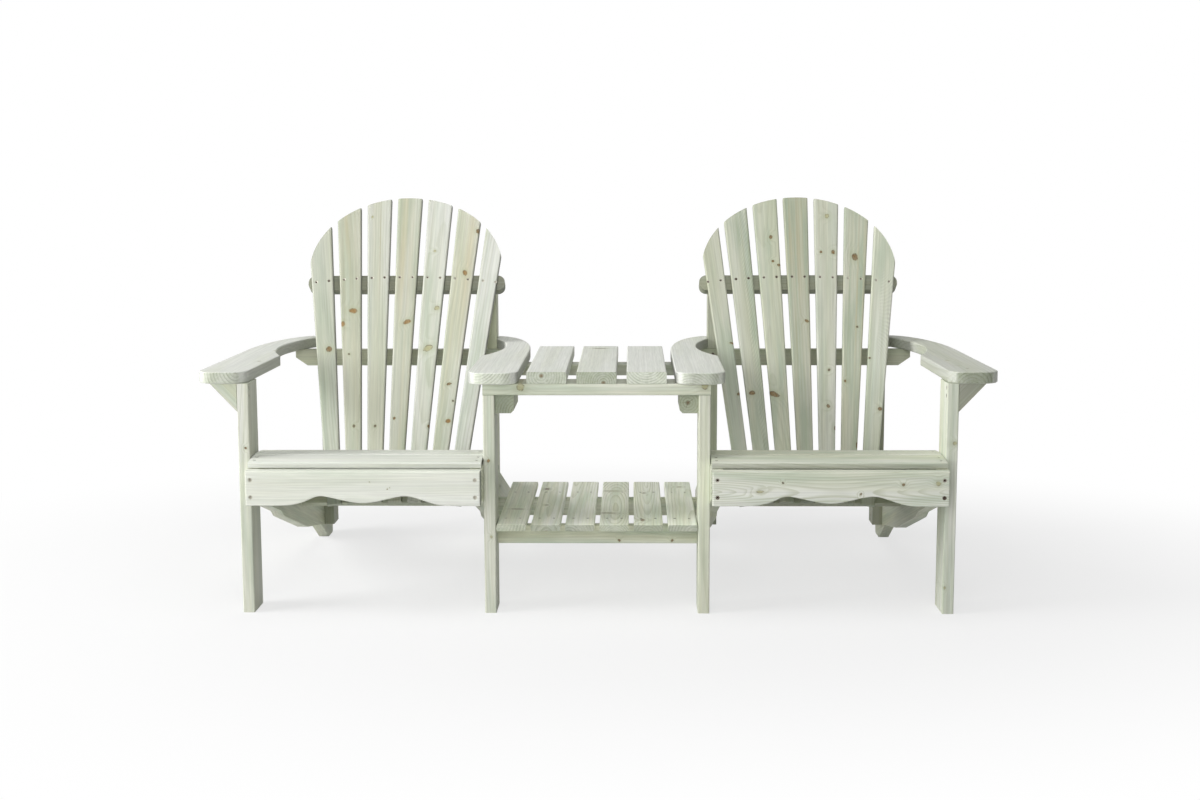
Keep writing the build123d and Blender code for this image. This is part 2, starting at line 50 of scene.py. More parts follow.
bl_info = {
    "name": "Double Adirondack Chair Looks",
    "version": (1, 0, 0),
    "blender": (4, 5, 0),
    "location": "View3D > Sidebar > Chair",
    "description": "Dresses the double adirondack chair in treated pine and sets its studio",
    "category": "Object",
}

MM = 0.001
SMOOTH = {"interpolation_type": "SMOOTHSTEP"}  # a Map Range that eases in and out
X, Y, Z = Vector((1, 0, 0)), Vector((0, 1, 0)), Vector((0, 0, 1))
CHAIRS = {"left": -1, "right": 1}  # side of the table that each chair is on, along X

# How the boards lie, as built
CHAIR_MIDDLE = 0.5505  # from the middle of the table to the middle of a chair
SEAT_SLOPE = radians(17.2)
DOWN_SEAT = Vector((0, cos(SEAT_SLOPE), -sin(SEAT_SLOPE)))
OFF_SEAT = Vector((0, sin(SEAT_SLOPE), cos(SEAT_SLOPE)))
SEAT_FRONT = Vector((0, -0.4225, 0.37))  # middle of the first seat slat, in the middle plane
SEAT_SLAT_STEP = 0.0746  # from slat to slat, seen from above
SEAT_FIRST_GAP = -0.3838  # Y of the gap behind the first seat slat
RECLINE = radians(29.0)
UP_BACK = Vector((0, sin(RECLINE), cos(RECLINE)))
OUT_OF_BACK = Vector((0, -cos(RECLINE), sin(RECLINE)))
RAIL_FOOT = Vector((0, 0.3635, 0.713))  # lower rear edge of the upper back rails, in the middle plane
RAIL_THICKNESS = 0.028
FAN_STEP = radians(2.17)  # from back slat to back slat
FAN_MIDDLE = 3  # the slat that stands upright, counted from 0
FAN_PIVOT = 2.038  # how far below the upper rail the slats' middle lines meet
BRACKET_ACROSS, BRACKET_DOWN = 63, 67  # run of the arm brackets' long edge, in mm


def linear(code):
    """Linear colour of an sRGB hex value."""
    parts = [int(code[i:i + 2], 16) / 255 for i in (1, 3, 5)]
    return tuple(c / 12.92 if c <= 0.04045 else ((c + 0.055) / 1.055) ** 2.4 for c in parts)


def add_node(tree, kind, inputs=(), ramp=(), **settings):
    """Adds a node, sets it, links or sets its inputs, by name or in order, and gives its outputs."""
    node = tree.nodes.new(kind)
    for key, value in settings.items():
        setattr(node, key, value)
    for key, value in inputs.items() if isinstance(inputs, dict) else enumerate(inputs):
        if isinstance(value, bpy.types.NodeSocket):
            tree.links.new(value, node.inputs[key])
        else:
            node.inputs[key].default_value = value
    if ramp:
        steps = node.color_ramp.elements
        while len(steps) < len(ramp):
            steps.new(1.0)
        for step, (position, value) in zip(steps, ramp):
            step.position = position
            step.color = (value, value, value, 1)
    return node.outputs


def clear_nodes(owner):
    """Empties the nodes of a new material or world, and gives the function that adds new ones to it."""
    owner.use_nodes = True
    owner.node_tree.nodes.clear()
    return partial(add_node, owner.node_tree)


class PineLooks(bpy.types.PropertyGroup):
    """Colours and grain of the treated pine."""
    sapwood: bpy.props.FloatVectorProperty(
        name="Sapwood", description="Main pale green of the treated boards", subtype="COLOR",
        default=linear("#C9CEB4"))
    pale: bpy.props.FloatVectorProperty(
        name="Pale wood", description="Lighter drift in the boards", subtype="COLOR",
        default=linear("#DFE1DA"))
    green: bpy.props.FloatVectorProperty(
        name="Green wash", description="Where the treatment took most", subtype="COLOR",
        default=linear("#A9BAA4"))
    beige: bpy.props.FloatVectorProperty(
        name="Heart streaks", description="Beige streaks along the grain", subtype="COLOR",
        default=linear("#C9C0A0"))
    latewood: bpy.props.FloatVectorProperty(
        name="Latewood", description="The darker line of each growth ring", subtype="COLOR",
        default=linear("#A0A582"))
    knot: bpy.props.FloatVectorProperty(
        name="Knots", description="Sound brown knots", subtype="COLOR", default=linear("#6C4E1B"))
    amber_knot: bpy.props.FloatVectorProperty(
        name="Amber knots", description="Live knots with resin in them", subtype="COLOR",
        default=linear("#866226"))
    # Also the colour of the painted shade in drying cracks and of the dark crescent on knots
    dark_knot_and_shade: bpy.props.FloatVectorProperty(
        name="Dark knots", description="Small dead knots and knot edges", subtype="COLOR",
        default=linear("#4C3A20"))
    green_knot: bpy.props.FloatVectorProperty(
        name="Green knots", description="Pale knots stained by the treatment", subtype="COLOR",
        default=linear("#A39E70"))
    end_grain: bpy.props.FloatVectorProperty(
        name="End grain", description="Sawn ends, where the treatment soaked in", subtype="COLOR",
        default=linear("#B4BCA3"))
    end_line: bpy.props.FloatVectorProperty(
        name="End grain rings", description="The darker line of each growth ring on sawn ends",
        subtype="COLOR", default=linear("#77815F"))
    ring_contrast: bpy.props.FloatProperty(
        name="Ring contrast", description="Strength of the growth rings on planed faces", default=0.34,
        min=0, max=1, subtype="FACTOR")
    end_contrast: bpy.props.FloatProperty(
        name="End grain contrast", description="Strength of the growth rings on sawn ends", default=0.6,
        min=0, max=1, subtype="FACTOR")


class ScrewLooks(bpy.types.PropertyGroup):
    """Colours of the screws."""
    zinc: bpy.props.FloatVectorProperty(
        name="Zinc", description="Dulled plating", subtype="COLOR", default=linear("#B4B0A4"))
    # Also the colour of the painted shade in the screws' dishes and recesses
    rust_and_recess_shade: bpy.props.FloatVectorProperty(
        name="Rust", description="Stain on the plating", subtype="COLOR", default=linear("#4A382B"))
    # Colour of the heads that are drawn pale all over
    dust: bpy.props.FloatVectorProperty(
        name="Sawdust", description="Clean dust on sunk heads", subtype="COLOR", default=linear("#CFCDBD"))


class StageLooks(bpy.types.PropertyGroup):
    """The studio round the chair."""
    floor: bpy.props.FloatVectorProperty(
        name="Floor", description="Floor and backdrop", subtype="COLOR", default=linear("#DEDEDE"))
    floor_white: bpy.props.FloatProperty(
        name="Floor white", description="Share of plain white that the camera sees on the floor by the chair",
        default=0.7, min=0, max=1, subtype="FACTOR")
    sky: bpy.props.FloatProperty(name="Sky", description="Even light from all round", default=0.08, min=0)
    key: bpy.props.FloatProperty(
        name="Key", description="Share of full light from the large lamp at the left", default=1.05)
    top: bpy.props.FloatProperty(
        name="Top", description="Share of full light from overhead", default=0.38)
    fill: bpy.props.FloatProperty(
        name="Fill", description="Share of full light from the front", default=0.34)
    back: bpy.props.FloatProperty(
        name="Back", description="Share of full light from behind, low down", default=0.30)


class Grain:
    """A board's own axes: across its width, through its thickness and along its length."""

    def __init__(self, origin, along, across):
        self.origin = origin
        self.along = along.normalized()
        self.across = across.normalized()
        through = self.along.cross(self.across)
        columns = Matrix((self.across, through, self.along)).transposed()
        self.turn = columns.to_euler()


def middle_of(node):
    """Middle of a CAD node's box."""
    low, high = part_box(node)
    return (low + high) / 2


# Kinds of knot: sound brown ones, live amber ones, small dead ones and pale ones stained by the treatment
KNOTS = {
    "brown": {"core": "knot", "strength": 0.95, "rim": 0.8, "gloom": 0.75},
    "amber": {"core": "amber_knot", "strength": 0.95, "rim": 0.5, "gloom": 0.5},
    "dark": {"core": "dark_knot_and_shade", "strength": 0.9, "rim": 0.3, "gloom": 0.3},
    "stained": {"core": "green_knot", "strength": 0.75, "rim": 0.7, "gloom": 0.35},
}

# How the pine is drawn. A span is where a change starts and ends.
NOISE_SPAN = (0.3, 0.7)  # most of a noise lies here
NOISE_MIDDLE = (0.5, 0.5, 0.5)
SAWN_SPAN = (0.75, 0.9)  # how squarely a face meets the grain, from planed faces to sawn ends
EDGE_SPAN = (0.75, 0.95)  # how squarely a face meets the width, from wide faces to narrow edges
BOW_REACH = 0.25  # how far from a board's middle its bow is measured
LOG_STEP = (0.017, 0.011, 0.83)  # from one slat to the next in their log, where they share a node
HEART_SPAN = (1.5 * MM, 7 * MM)  # the brown spot at a log's heart
CRACK_SPAN = (0.1 * MM, 0.6 * MM)  # half width of a drying crack
CRACK_END = (9 * MM, 19 * MM)  # how far from the heart such a crack runs out
CHATTER_RUN = 0.1  # along the board, over which the change in planer marks' slope is given
PLANER_FADE = 8  # mm across the board over which planer marks begin
# Knots and streaks. Their spans are in their own half widths.
RAGGED = (0.005, 0, 0.006)  # how far their outlines stray
RIGHT_THROUGH = 1000  # half depth, because they go right through a board
LIT_SIDE = (0.4, 0, -0.3)  # middle of the part of a knot that stays bright
KNOT_SWELL = 8 * MM  # how far a knot pushes the rings aside
SWELL_SPAN = (0.5, 4.5)
CORE_SPAN = (0.55, 1.15)
HALO_SPAN = (0.9, 2.6)
GLOOM_SPAN = (0.75, 1.35)
STREAK_SPAN = (0.0, 1.15)


def pine(node, grain, spec):
    """Planed, pressure-treated pine, which is matt and pale green, with faint growth rings that run along
    the board and show as arcs on its sawn ends, beige heart streaks, and knots that the rings bend round.

    spec holds what is the board's own. Its lengths are in mm, and all of it is optional:
    pith, the middle of the rings from the board's middle line (across, through);
    ring, the ring spacing;
    bow, how far the pith moves through the board at BOW_REACH from the board's middle;
    tilt, how the pith slants through the board, in degrees;
    wander, how far the pith strays;
    contrast, the strength of the rings on planed faces;
    pale, beige and green, the shares of those tones, and ends, the share of end grain colour on sawn ends;
    light and end_tone_and_painted_light, the level of the board and of its sawn ends, each partly their own
    tone and partly painted light and shade for how the lamps fall on them, and painted_edge_light, the level
    of its narrow edges, which is painted light and shade;
    marks, which are knots and streaks, as (along, across, length, width, lean in degrees, kind);
    chatter, which is planer marks, as (slope, its change over CHATTER_RUN, spacing, start across);
    shakes, about twice the number of drying cracks round the heart of a sawn end;
    pitch and start, the spacing of slats that share a node and the Y of the first gap between them.
    """
    looks = bpy.context.scene.pine_looks
    material = bpy.data.materials.new(f"treated_pine.{node}")
    put = clear_nodes(material)
    draw = random.Random(node)
    coords = put("ShaderNodeTexCoord")
    place = put("ShaderNodeMapping", {"Vector": coords["Object"], "Location": grain.origin,
                                      "Rotation": grain.turn}, vector_type="TEXTURE")[0]
    if "pitch" in spec:
        # Slats that share a node are told apart by their place, and each one is moved along its log
        row = put("ShaderNodeSeparateXYZ", (coords["Object"],))["Y"]
        row = put("ShaderNodeMath", (row, -spec["start"] * MM), operation="ADD")[0]
        row = put("ShaderNodeMath", (row, spec["pitch"] * MM), operation="DIVIDE")[0]
        row = put("ShaderNodeMath", (row,), operation="FLOOR")[0]
        shift = put("ShaderNodeVectorMath", {0: LOG_STEP, "Scale": row}, operation="SCALE")[0]
        place = put("ShaderNodeVectorMath", (place, shift), operation="ADD")[0]

    def streaks(width, length, detail=2.0):
        """A drift in the wood, in patches about so many mm wide and long along the board."""
        scale = (1 / (width * MM), 1 / (width * MM), 1 / (length * MM))
        seed = tuple(draw.uniform(-40, 40) for _ in range(3))
        where = put("ShaderNodeMapping", {"Vector": place, "Location": seed, "Scale": scale})[0]
        return put("ShaderNodeTexNoise", {"Vector": where, "Scale": 1.0, "Detail": detail})

    # The log's heart wanders along the board, which opens the rings into long arches on the faces
    wander = put("ShaderNodeVectorMath", (streaks(150, 520)["Color"], NOISE_MIDDLE),
                 operation="SUBTRACT")[0]
    reach = spec.get("wander", 22) * MM
    bent = put("ShaderNodeVectorMath", (wander, (reach, reach, 0), place), operation="MULTIPLY_ADD")[0]
    # Along the board the heart also comes nearer or goes deeper, which makes spindles and pointed arches
    axes = put("ShaderNodeSeparateXYZ", (place,))
    aside, run = axes["X"], axes["Z"]
    bow = spec.get("bow", draw.uniform(-5, 5)) * MM / BOW_REACH ** 2
    tilt = spec.get("tilt", draw.uniform(-1.5, 1.5))
    depth = put("ShaderNodeMath", (run, bow, radians(tilt)), operation="MULTIPLY_ADD")[0]
    depth = put("ShaderNodeMath", (depth, run), operation="MULTIPLY")[0]
    depth = put("ShaderNodeCombineXYZ", {"Y": depth})[0]
    bent = put("ShaderNodeVectorMath", (bent, depth), operation="ADD")[0]
    pith = spec.get("pith") or (draw.choice((-1, 1)) * draw.uniform(25, 70),
                                draw.choice((-1, 1)) * draw.uniform(18, 45))
    from_pith = put("ShaderNodeMapping", {"Vector": bent, "Location": (-pith[0] * MM, -pith[1] * MM, 0),
                                          "Scale": (1, 1, 0)})[0]
    radius = put("ShaderNodeVectorMath", (from_pith,), operation="LENGTH")["Value"]

    # Knots and listed streaks: the distance to the nearest of each kind, in its own half widths
    ragged = put("ShaderNodeVectorMath", (streaks(7, 11)["Color"], RAGGED, place),
                 operation="MULTIPLY_ADD")[0]
    nearest, sunny = {}, {}
    for along, across, length, width, lean, kind in spec.get("marks", ()):
        local = put("ShaderNodeMapping", {
            "Vector": ragged, "Location": (across * MM + RAGGED[0] / 2, 0, along * MM + RAGGED[2] / 2),
            "Rotation": (0, radians(lean), 0),
            "Scale": (width * MM / 2, RIGHT_THROUGH, length * MM / 2)}, vector_type="TEXTURE")[0]
        for found, middle in ((nearest, (0, 0, 0)), (sunny, LIT_SIDE)):
            away = put("ShaderNodeVectorMath", (local, middle), operation="DISTANCE")["Value"]
            if kind in found:
                away = put("ShaderNodeMath", (found[kind], away), operation="MINIMUM")[0]
            found[kind] = away
    for kind, away in nearest.items():
        if kind in KNOTS:
            swell = put("ShaderNodeMapRange", (away, *SWELL_SPAN, KNOT_SWELL, 0), **SMOOTH)[0]
            radius = put("ShaderNodeMath", (radius, swell), operation="ADD")[0]

    # Growth rings: each fades slowly into its dark line and ends sharply
    spacing = spec.get("ring", draw.uniform(5.5, 8.0)) * MM
    rings = put("ShaderNodeMath", (radius, spacing), operation="DIVIDE")[0]
    phase = put("ShaderNodeMath", (rings,), operation="FRACT")[0]
    line = put("ShaderNodeValToRGB", {"Fac": phase},
               ramp=((0.0, 0.10), (0.45, 0.12), (0.80, 0.85), (0.93, 1.0), (1.0, 0.10)))[0]
    strength = put("ShaderNodeMapRange", (streaks(30, 600)["Fac"], *NOISE_SPAN, 0.35, 1.0), **SMOOTH)[0]
    line = put("ShaderNodeMath", (line, strength), operation="MULTIPLY")[0]

    # Sawn ends show the rings more strongly than planed faces
    facing = put("ShaderNodeVectorMath", (coords["Normal"], grain.along), operation="DOT_PRODUCT")["Value"]
    facing = put("ShaderNodeMath", (facing,), operation="ABSOLUTE")[0]
    sawn = put("ShaderNodeMapRange", (facing, *SAWN_SPAN), **SMOOTH)[0]
    planed_contrast = spec.get("contrast", looks.ring_contrast)
    contrast = put("ShaderNodeMapRange", (facing, *SAWN_SPAN, planed_contrast, looks.end_contrast),
                   **SMOOTH)[0]
    line_share = put("ShaderNodeMath", (line, contrast), operation="MULTIPLY")[0]

    # Tone of the board: pale drift, green wash and beige streaks, then the rings over them
    pale = spec.get("pale", 0.4)
    drift = put("ShaderNodeMapRange", (streaks(60, 700)["Fac"], 0.35, 0.65, pale - 0.25, pale + 0.25),
                **SMOOTH)[0]
    colour = put("ShaderNodeMix", {0: drift, 6: (*looks.sapwood, 1), 7: (*looks.pale, 1)},
                 data_type="RGBA")[2]
    wash = put("ShaderNodeMapRange", (streaks(34, 280, 4)["Fac"], 0.40, 0.72, 0, spec.get("green", 0.55)),
               **SMOOTH)[0]
    colour = put("ShaderNodeMix", {0: wash, 6: colour, 7: (*looks.green, 1)}, data_type="RGBA")[2]
    beige = spec.get("beige", 0.35)
    heart = put("ShaderNodeMapRange", (streaks(13, 900, 4)["Fac"], 0.40, 0.72, 0.2 * beige, 0.7 * beige),
                **SMOOTH)[0]
    colour = put("ShaderNodeMix", {0: heart, 6: colour, 7: (*looks.beige, 1)}, data_type="RGBA")[2]
    for kind in ("beige", "green"):
        if kind in nearest:
            share = put("ShaderNodeMapRange", (nearest[kind], *STREAK_SPAN, 0.6, 0), **SMOOTH)[0]
            colour = put("ShaderNodeMix", {0: share, 6: colour, 7: (*getattr(looks, kind), 1)},
                         data_type="RGBA")[2]
    # Sawn ends soak up more of the treatment, in blotches
    ends = spec.get("ends", 0.55)
    mottle = put("ShaderNodeMapRange", (streaks(9, 9, 2)["Fac"], *NOISE_SPAN, 0.6 * ends, ends),
                 **SMOOTH)[0]
    blotch = put("ShaderNodeMath", (mottle, sawn), operation="MULTIPLY")[0]
    colour = put("ShaderNodeMix", {0: blotch, 6: colour, 7: (*looks.end_grain, 1)}, data_type="RGBA")[2]
    dark_line = put("ShaderNodeMix", {0: sawn, 6: (*looks.latewood, 1), 7: (*looks.end_line, 1)},
                    data_type="RGBA")[2]
    colour = put("ShaderNodeMix", {0: line_share, 6: colour, 7: dark_line}, data_type="RGBA")[2]
    # The log's heart shows on a sawn end as a small brown spot
    heart = put("ShaderNodeMapRange", (radius, *HEART_SPAN, 0.8, 0), **SMOOTH)[0]
    heart = put("ShaderNodeMath", (heart, sawn), operation="MULTIPLY")[0]
    colour = put("ShaderNodeMix", {0: heart, 6: colour, 7: (*looks.knot, 1)}, data_type="RGBA")[2]
    if "shakes" in spec:
        # Drying cracks that run out from the heart on a sawn end, drawn as dark lines of painted shade
        angle = put("ShaderNodeTexGradient", {"Vector": from_pith}, gradient_type="RADIAL")["Fac"]
        angle = put("ShaderNodeMath", (angle, spec["shakes"]), operation="MULTIPLY")[0]
        angle = put("ShaderNodeMath", (angle, 1.0), operation="PINGPONG")[0]
        off = put("ShaderNodeMath", (angle, radius), operation="MULTIPLY")[0]
        crack = put("ShaderNodeMapRange", (off, *CRACK_SPAN, 0.85, 0), **SMOOTH)[0]
        fade = put("ShaderNodeMapRange", (radius, *CRACK_END, 1, 0), **SMOOTH)[0]
        crack = put("ShaderNodeMath", (crack, fade), operation="MULTIPLY")[0]
        crack = put("ShaderNodeMath", (crack, sawn), operation="MULTIPLY")[0]
        colour = put("ShaderNodeMix", {0: crack, 6: colour, 7: (*looks.dark_knot_and_shade, 1)}, data_type="RGBA")[2]

    # Fibres: lines along the board, 2 to 5 mm wide, which is coarser than real ones so that they show
    fibre = streaks(2.2, 90, 2)["Fac"]
    lines = streaks(4.5, 600, 3)["Fac"]
    # The board's light level is partly its own tone and partly painted light and shade for how the lamps fall
    # on it
    light = spec.get("light", 1.0)
    shade = put("ShaderNodeMapRange", (fibre, *NOISE_SPAN, 0.94, 1.05), **SMOOTH)[0]
    thick = put("ShaderNodeMapRange", (lines, *NOISE_SPAN, 0.93 * light, 1.05 * light), **SMOOTH)[0]
    shade = put("ShaderNodeMath", (shade, thick), operation="MULTIPLY")[0]
    # The sawn ends' level is partly their own tone and partly painted light and shade, such as ends turned
    # from the key lamp drawn darker
    if "end_tone_and_painted_light" in spec:
        dim = put("ShaderNodeMapRange", (facing, *SAWN_SPAN, 1.0, spec["end_tone_and_painted_light"]), **SMOOTH)[0]
        shade = put("ShaderNodeMath", (shade, dim), operation="MULTIPLY")[0]
    # Painted light and shade on the narrow edges: lighter or darker than the wide faces for which way they
    # turn from the lamps
    if "painted_edge_light" in spec:
        narrow = put("ShaderNodeVectorMath", (coords["Normal"], grain.across),
                     operation="DOT_PRODUCT")["Value"]
        narrow = put("ShaderNodeMath", (narrow,), operation="ABSOLUTE")[0]
        dim = put("ShaderNodeMapRange", (narrow, *EDGE_SPAN, 1.0, spec["painted_edge_light"]), **SMOOTH)[0]
        shade = put("ShaderNodeMath", (shade, dim), operation="MULTIPLY")[0]
    if "chatter" in spec:
        # Planer marks: shallow ripples in arcs across part of the board, in patches, and about twice as
        # coarse as real ones so that they show. Their ripples are drawn as painted light and shade in the
        # colour, not as bumps
        rise, turn, gap, start = spec["chatter"]
        arc = put("ShaderNodeMath", (run, turn / CHATTER_RUN, rise), operation="MULTIPLY_ADD")[0]
        arc = put("ShaderNodeMath", (arc, aside), operation="MULTIPLY")[0]
        arc = put("ShaderNodeMath", (run, arc), operation="SUBTRACT")[0]
        jitter = put("ShaderNodeMapRange", (streaks(30, 90)["Fac"], 0.2, 0.8, 0, 4), **SMOOTH)[0]
        arc = put("ShaderNodeMath", (arc, 2 * pi / (gap * MM), jitter), operation="MULTIPLY_ADD")[0]
        ripple = put("ShaderNodeMath", (arc,), operation="SINE")[0]
        patch = put("ShaderNodeMapRange", (streaks(40, 180)["Fac"], 0.36, 0.58, 0.02, 0.08), **SMOOTH)[0]
        edge = put("ShaderNodeMapRange", (aside, start * MM, (start + PLANER_FADE) * MM), **SMOOTH)[0]
        ripple = put("ShaderNodeMath", (ripple, patch), operation="MULTIPLY")[0]
        ripple = put("ShaderNodeMath", (ripple, edge, 1.0), operation="MULTIPLY_ADD")[0]
        shade = put("ShaderNodeMath", (shade, ripple), operation="MULTIPLY")[0]
    colour = put("ShaderNodeMix", {0: 1.0, 6: colour, 7: shade}, data_type="RGBA", blend_type="MULTIPLY")[2]

    # Knots: a stained halo, a patchy core, a broken dark rim and a dark crescent away from the lit side
    patchy = put("ShaderNodeMapRange", (streaks(4, 6, 2)["Fac"], 0.35, 0.65, 0.8, 1.0), **SMOOTH)[0]
    broken = put("ShaderNodeMapRange", (streaks(5, 5, 2)["Fac"], 0.4, 0.6), **SMOOTH)[0]
    for kind, knot in KNOTS.items():
        if kind not in nearest:
            continue
        halo = put("ShaderNodeMapRange", (nearest[kind], *HALO_SPAN, 0.30, 0), **SMOOTH)[0]
        colour = put("ShaderNodeMix", {0: halo, 6: colour, 7: (*looks.latewood, 1)}, data_type="RGBA")[2]
        core = put("ShaderNodeMapRange", (nearest[kind], *CORE_SPAN, knot["strength"], 0), **SMOOTH)[0]
        core = put("ShaderNodeMath", (core, patchy), operation="MULTIPLY")[0]
        colour = put("ShaderNodeMix", {0: core, 6: colour, 7: (*getattr(looks, knot["core"]), 1)},
                     data_type="RGBA")[2]
        rim = put("ShaderNodeValToRGB", {"Fac": nearest[kind]},
                  ramp=((0.0, 0.25), (0.2, 0.0), (0.6, 0.0), (0.88, knot["rim"]), (1.0, 0.0)))[0]
        rim = put("ShaderNodeMath", (rim, broken), operation="MULTIPLY")[0]
        colour = put("ShaderNodeMix", {0: rim, 6: colour, 7: (*looks.dark_knot_and_shade, 1)}, data_type="RGBA")[2]
        gloom = put("ShaderNodeMapRange", (sunny[kind], *GLOOM_SPAN), **SMOOTH)[0]
        gloom = put("ShaderNodeMath", (gloom, core), operation="MULTIPLY")[0]
        gloom = put("ShaderNodeMath", (gloom, knot["gloom"]), operation="MULTIPLY")[0]
        colour = put("ShaderNodeMix", {0: gloom, 6: colour, 7: (*looks.dark_knot_and_shade, 1)}, data_type="RGBA")[2]

    height = put("ShaderNodeMath", (fibre, 0.6, line), operation="MULTIPLY_ADD")[0]
    bump = put("ShaderNodeBump", {"Height": height, "Strength": 0.22, "Distance": 0.0006})[0]
    rough = put("ShaderNodeMapRange", (line, 0, 1, 0.58, 0.48), **SMOOTH)[0]
    shader = put("ShaderNodeBsdfPrincipled", {"Base Color": colour, "Roughness": rough, "Normal": bump,
                                              "IOR": 1.45, "Specular IOR Level": 0.5})[0]
    put("ShaderNodeOutputMaterial", {"Surface": shader})
    return material


def dress(node, along, across, spec, origin=None):
    """Gives a CAD board its own pine, whose grain runs one way and whose width lies another."""
    middle = middle_of(node) if origin is None else origin
    material = pine(node, Grain(middle, along, across), spec)
    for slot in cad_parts[node].material_slots:
        slot.material = material


# Each board's own pine, as pine reads it. Along the back slats, marks count up from the upper rail.
# The slats' light levels are partly their own tone and partly painted shade
BACK_SLATS = {
    "left": (
        {"pith": (62, 22), "beige": 0.15, "pale": 0.5, "light": 0.72, "marks": (
            (-175, 8, 19, 18, 0, "brown"),)},
        {"pith": (-30, 34), "beige": 0.55, "pale": 0.5, "light": 0.73, "marks": (
            (210, -9, 340, 17, -2, "beige"),
            (-65, 6, 17, 26, 12, "amber"), (-103, -24, 18, 14, 0, "amber"),
            (-195, -7, 8, 7, 0, "dark"), (-408, 3, 9, 9, 0, "dark"))},
        {"pith": (75, -18), "beige": 0.35, "pale": 0.6, "light": 0.77, "marks": (
            (-412, -1, 9, 8, 0, "dark"), (225, -20, 8, 6, 0, "stained"), (120, 4, 500, 5, 0, "beige"))},
        {"pith": (-58, 26), "beige": 0.55, "light": 0.77, "marks": (
            (100, -14, 600, 30, 0, "beige"),
            (-104, 9, 13, 25, -25, "amber"), (-390, -12, 9, 8, 0, "brown"))},
        {"pith": (12, 46), "beige": 0.2, "pale": 0.9, "light": 0.84, "marks": (
            (116, -4, 8, 9, 0, "stained"), (-60, 16, 15, 17, -20, "stained"),
            (-182, 1, 19, 30, -28, "stained"), (-411, 22, 10, 9, 0, "brown"))},
        {"pith": (-44, 30), "beige": 0.6, "pale": 0.55, "light": 0.85, "marks": (
            (100, 12, 700, 30, 0, "beige"),
            (53, 7, 19, 14, -20, "amber"), (186, 30, 16, 14, 0, "brown"), (-285, 1, 9, 15, -20, "brown"),
            (-334, 18, 7, 7, 0, "dark"), (-393, 11, 13, 17, -20, "amber"))},
        {"pith": (80, 20), "beige": 0.2, "pale": 0.85, "light": 0.85},
    ),
    "right": (
        {"pith": (-70, 24), "beige": 0.2, "green": 0.8, "light": 0.77, "chatter": (0.5, 0, 6.0, -45),
         "marks": ((-160, 27, 7, 22, 10, "brown"), (-311, 22, 9, 12, -20, "brown"))},
        {"pith": (40, 30), "beige": 0.25, "green": 0.9, "light": 0.765, "chatter": (1.7, 0, 14.0, 0),
         "marks": ((-311, -8, 15, 18, 0, "brown"),)},
        {"pith": (-16, 40), "beige": 0.25, "green": 0.7, "light": 0.82, "marks": (
            (158, 10, 14, 10, 15, "brown"), (83, 11, 8, 8, 0, "brown"), (70, 27, 8, 10, 0, "brown"),
            (-318, -14, 16, 34, 24, "brown"))},
        {"pith": (66, 28), "beige": 0.6, "green": 0.9, "pale": 0.25, "light": 0.72, "marks": (
            (-102, 19, 9, 13, 25, "brown"), (120, 3, 500, 16, 0, "beige"), (150, -18, 300, 12, 0, "beige"),
            (80, -6, 500, 9, 0, "green"), (100, 22, 600, 12, 0, "green"))},
        {"pith": (8, 38), "beige": 0.3, "pale": 0.6, "light": 0.83, "marks": (
            (225, 2, 15, 13, 0, "stained"), (111, -15, 9, 8, 0, "brown"), (112, 19, 15, 11, 0, "brown"),
            (-247, 6, 10, 8, 20, "dark"), (-353, 3, 12, 10, 0, "brown"), (-416, 24, 14, 10, 0, "brown"))},
        {"pith": (-38, 24), "beige": 0.6, "green": 0.85, "pale": 0.25, "light": 0.82, "marks": (
            (-20, 8, 700, 9, 0, "beige"), (-30, 20, 700, 8, 0, "green"), (-40, -12, 700, 10, 0, "green"),
            (100, -1, 24, 18, -18, "brown"), (-114, 11, 8, 7, 0, "dark"), (-278, -17, 9, 7, 0, "brown"),
            (-461, 22, 20, 10, 0, "brown"))},
        {"pith": (50, 34), "beige": 0.12, "green": 0.5, "pale": 0.5, "light": 0.91,
         "chatter": (0.63, 1.05, 10.0, -8), "marks": (
             (-204, -21, 7, 7, 0, "dark"), (-350, 16, 12, 13, 0, "brown"))},
    ),
}
# Painted shade on the narrow edges of the left chair's slats, which the camera sees and which are turned from
# the key lamp
SLAT_EDGES = {"left": {"painted_edge_light": 0.45}, "right": {}}


class CHAIR_OT_dress_backs(bpy.types.Operator):
    """Give each slat of the two fanned backs its own pine"""
    bl_idname = "chair.dress_backs"
    bl_label = "Dress Back Slats"

    def execute(self, context):
        for chair, side in CHAIRS.items():
            rest = RAIL_FOOT + X * side * CHAIR_MIDDLE + OUT_OF_BACK * RAIL_THICKNESS
            for number, spec in enumerate(BACK_SLATS[chair]):
                turn = FAN_STEP * (number - FAN_MIDDLE)
                along = X * sin(turn) + UP_BACK * cos(turn)
                across = X * cos(turn) - UP_BACK * sin(turn)
                origin = rest + (along - UP_BACK) * FAN_PIVOT
                dress(f"{chair}_back_slat_{number + 1}", along, across, {**SLAT_EDGES[chair], **spec}, origin)
        return {"FINISHED"}


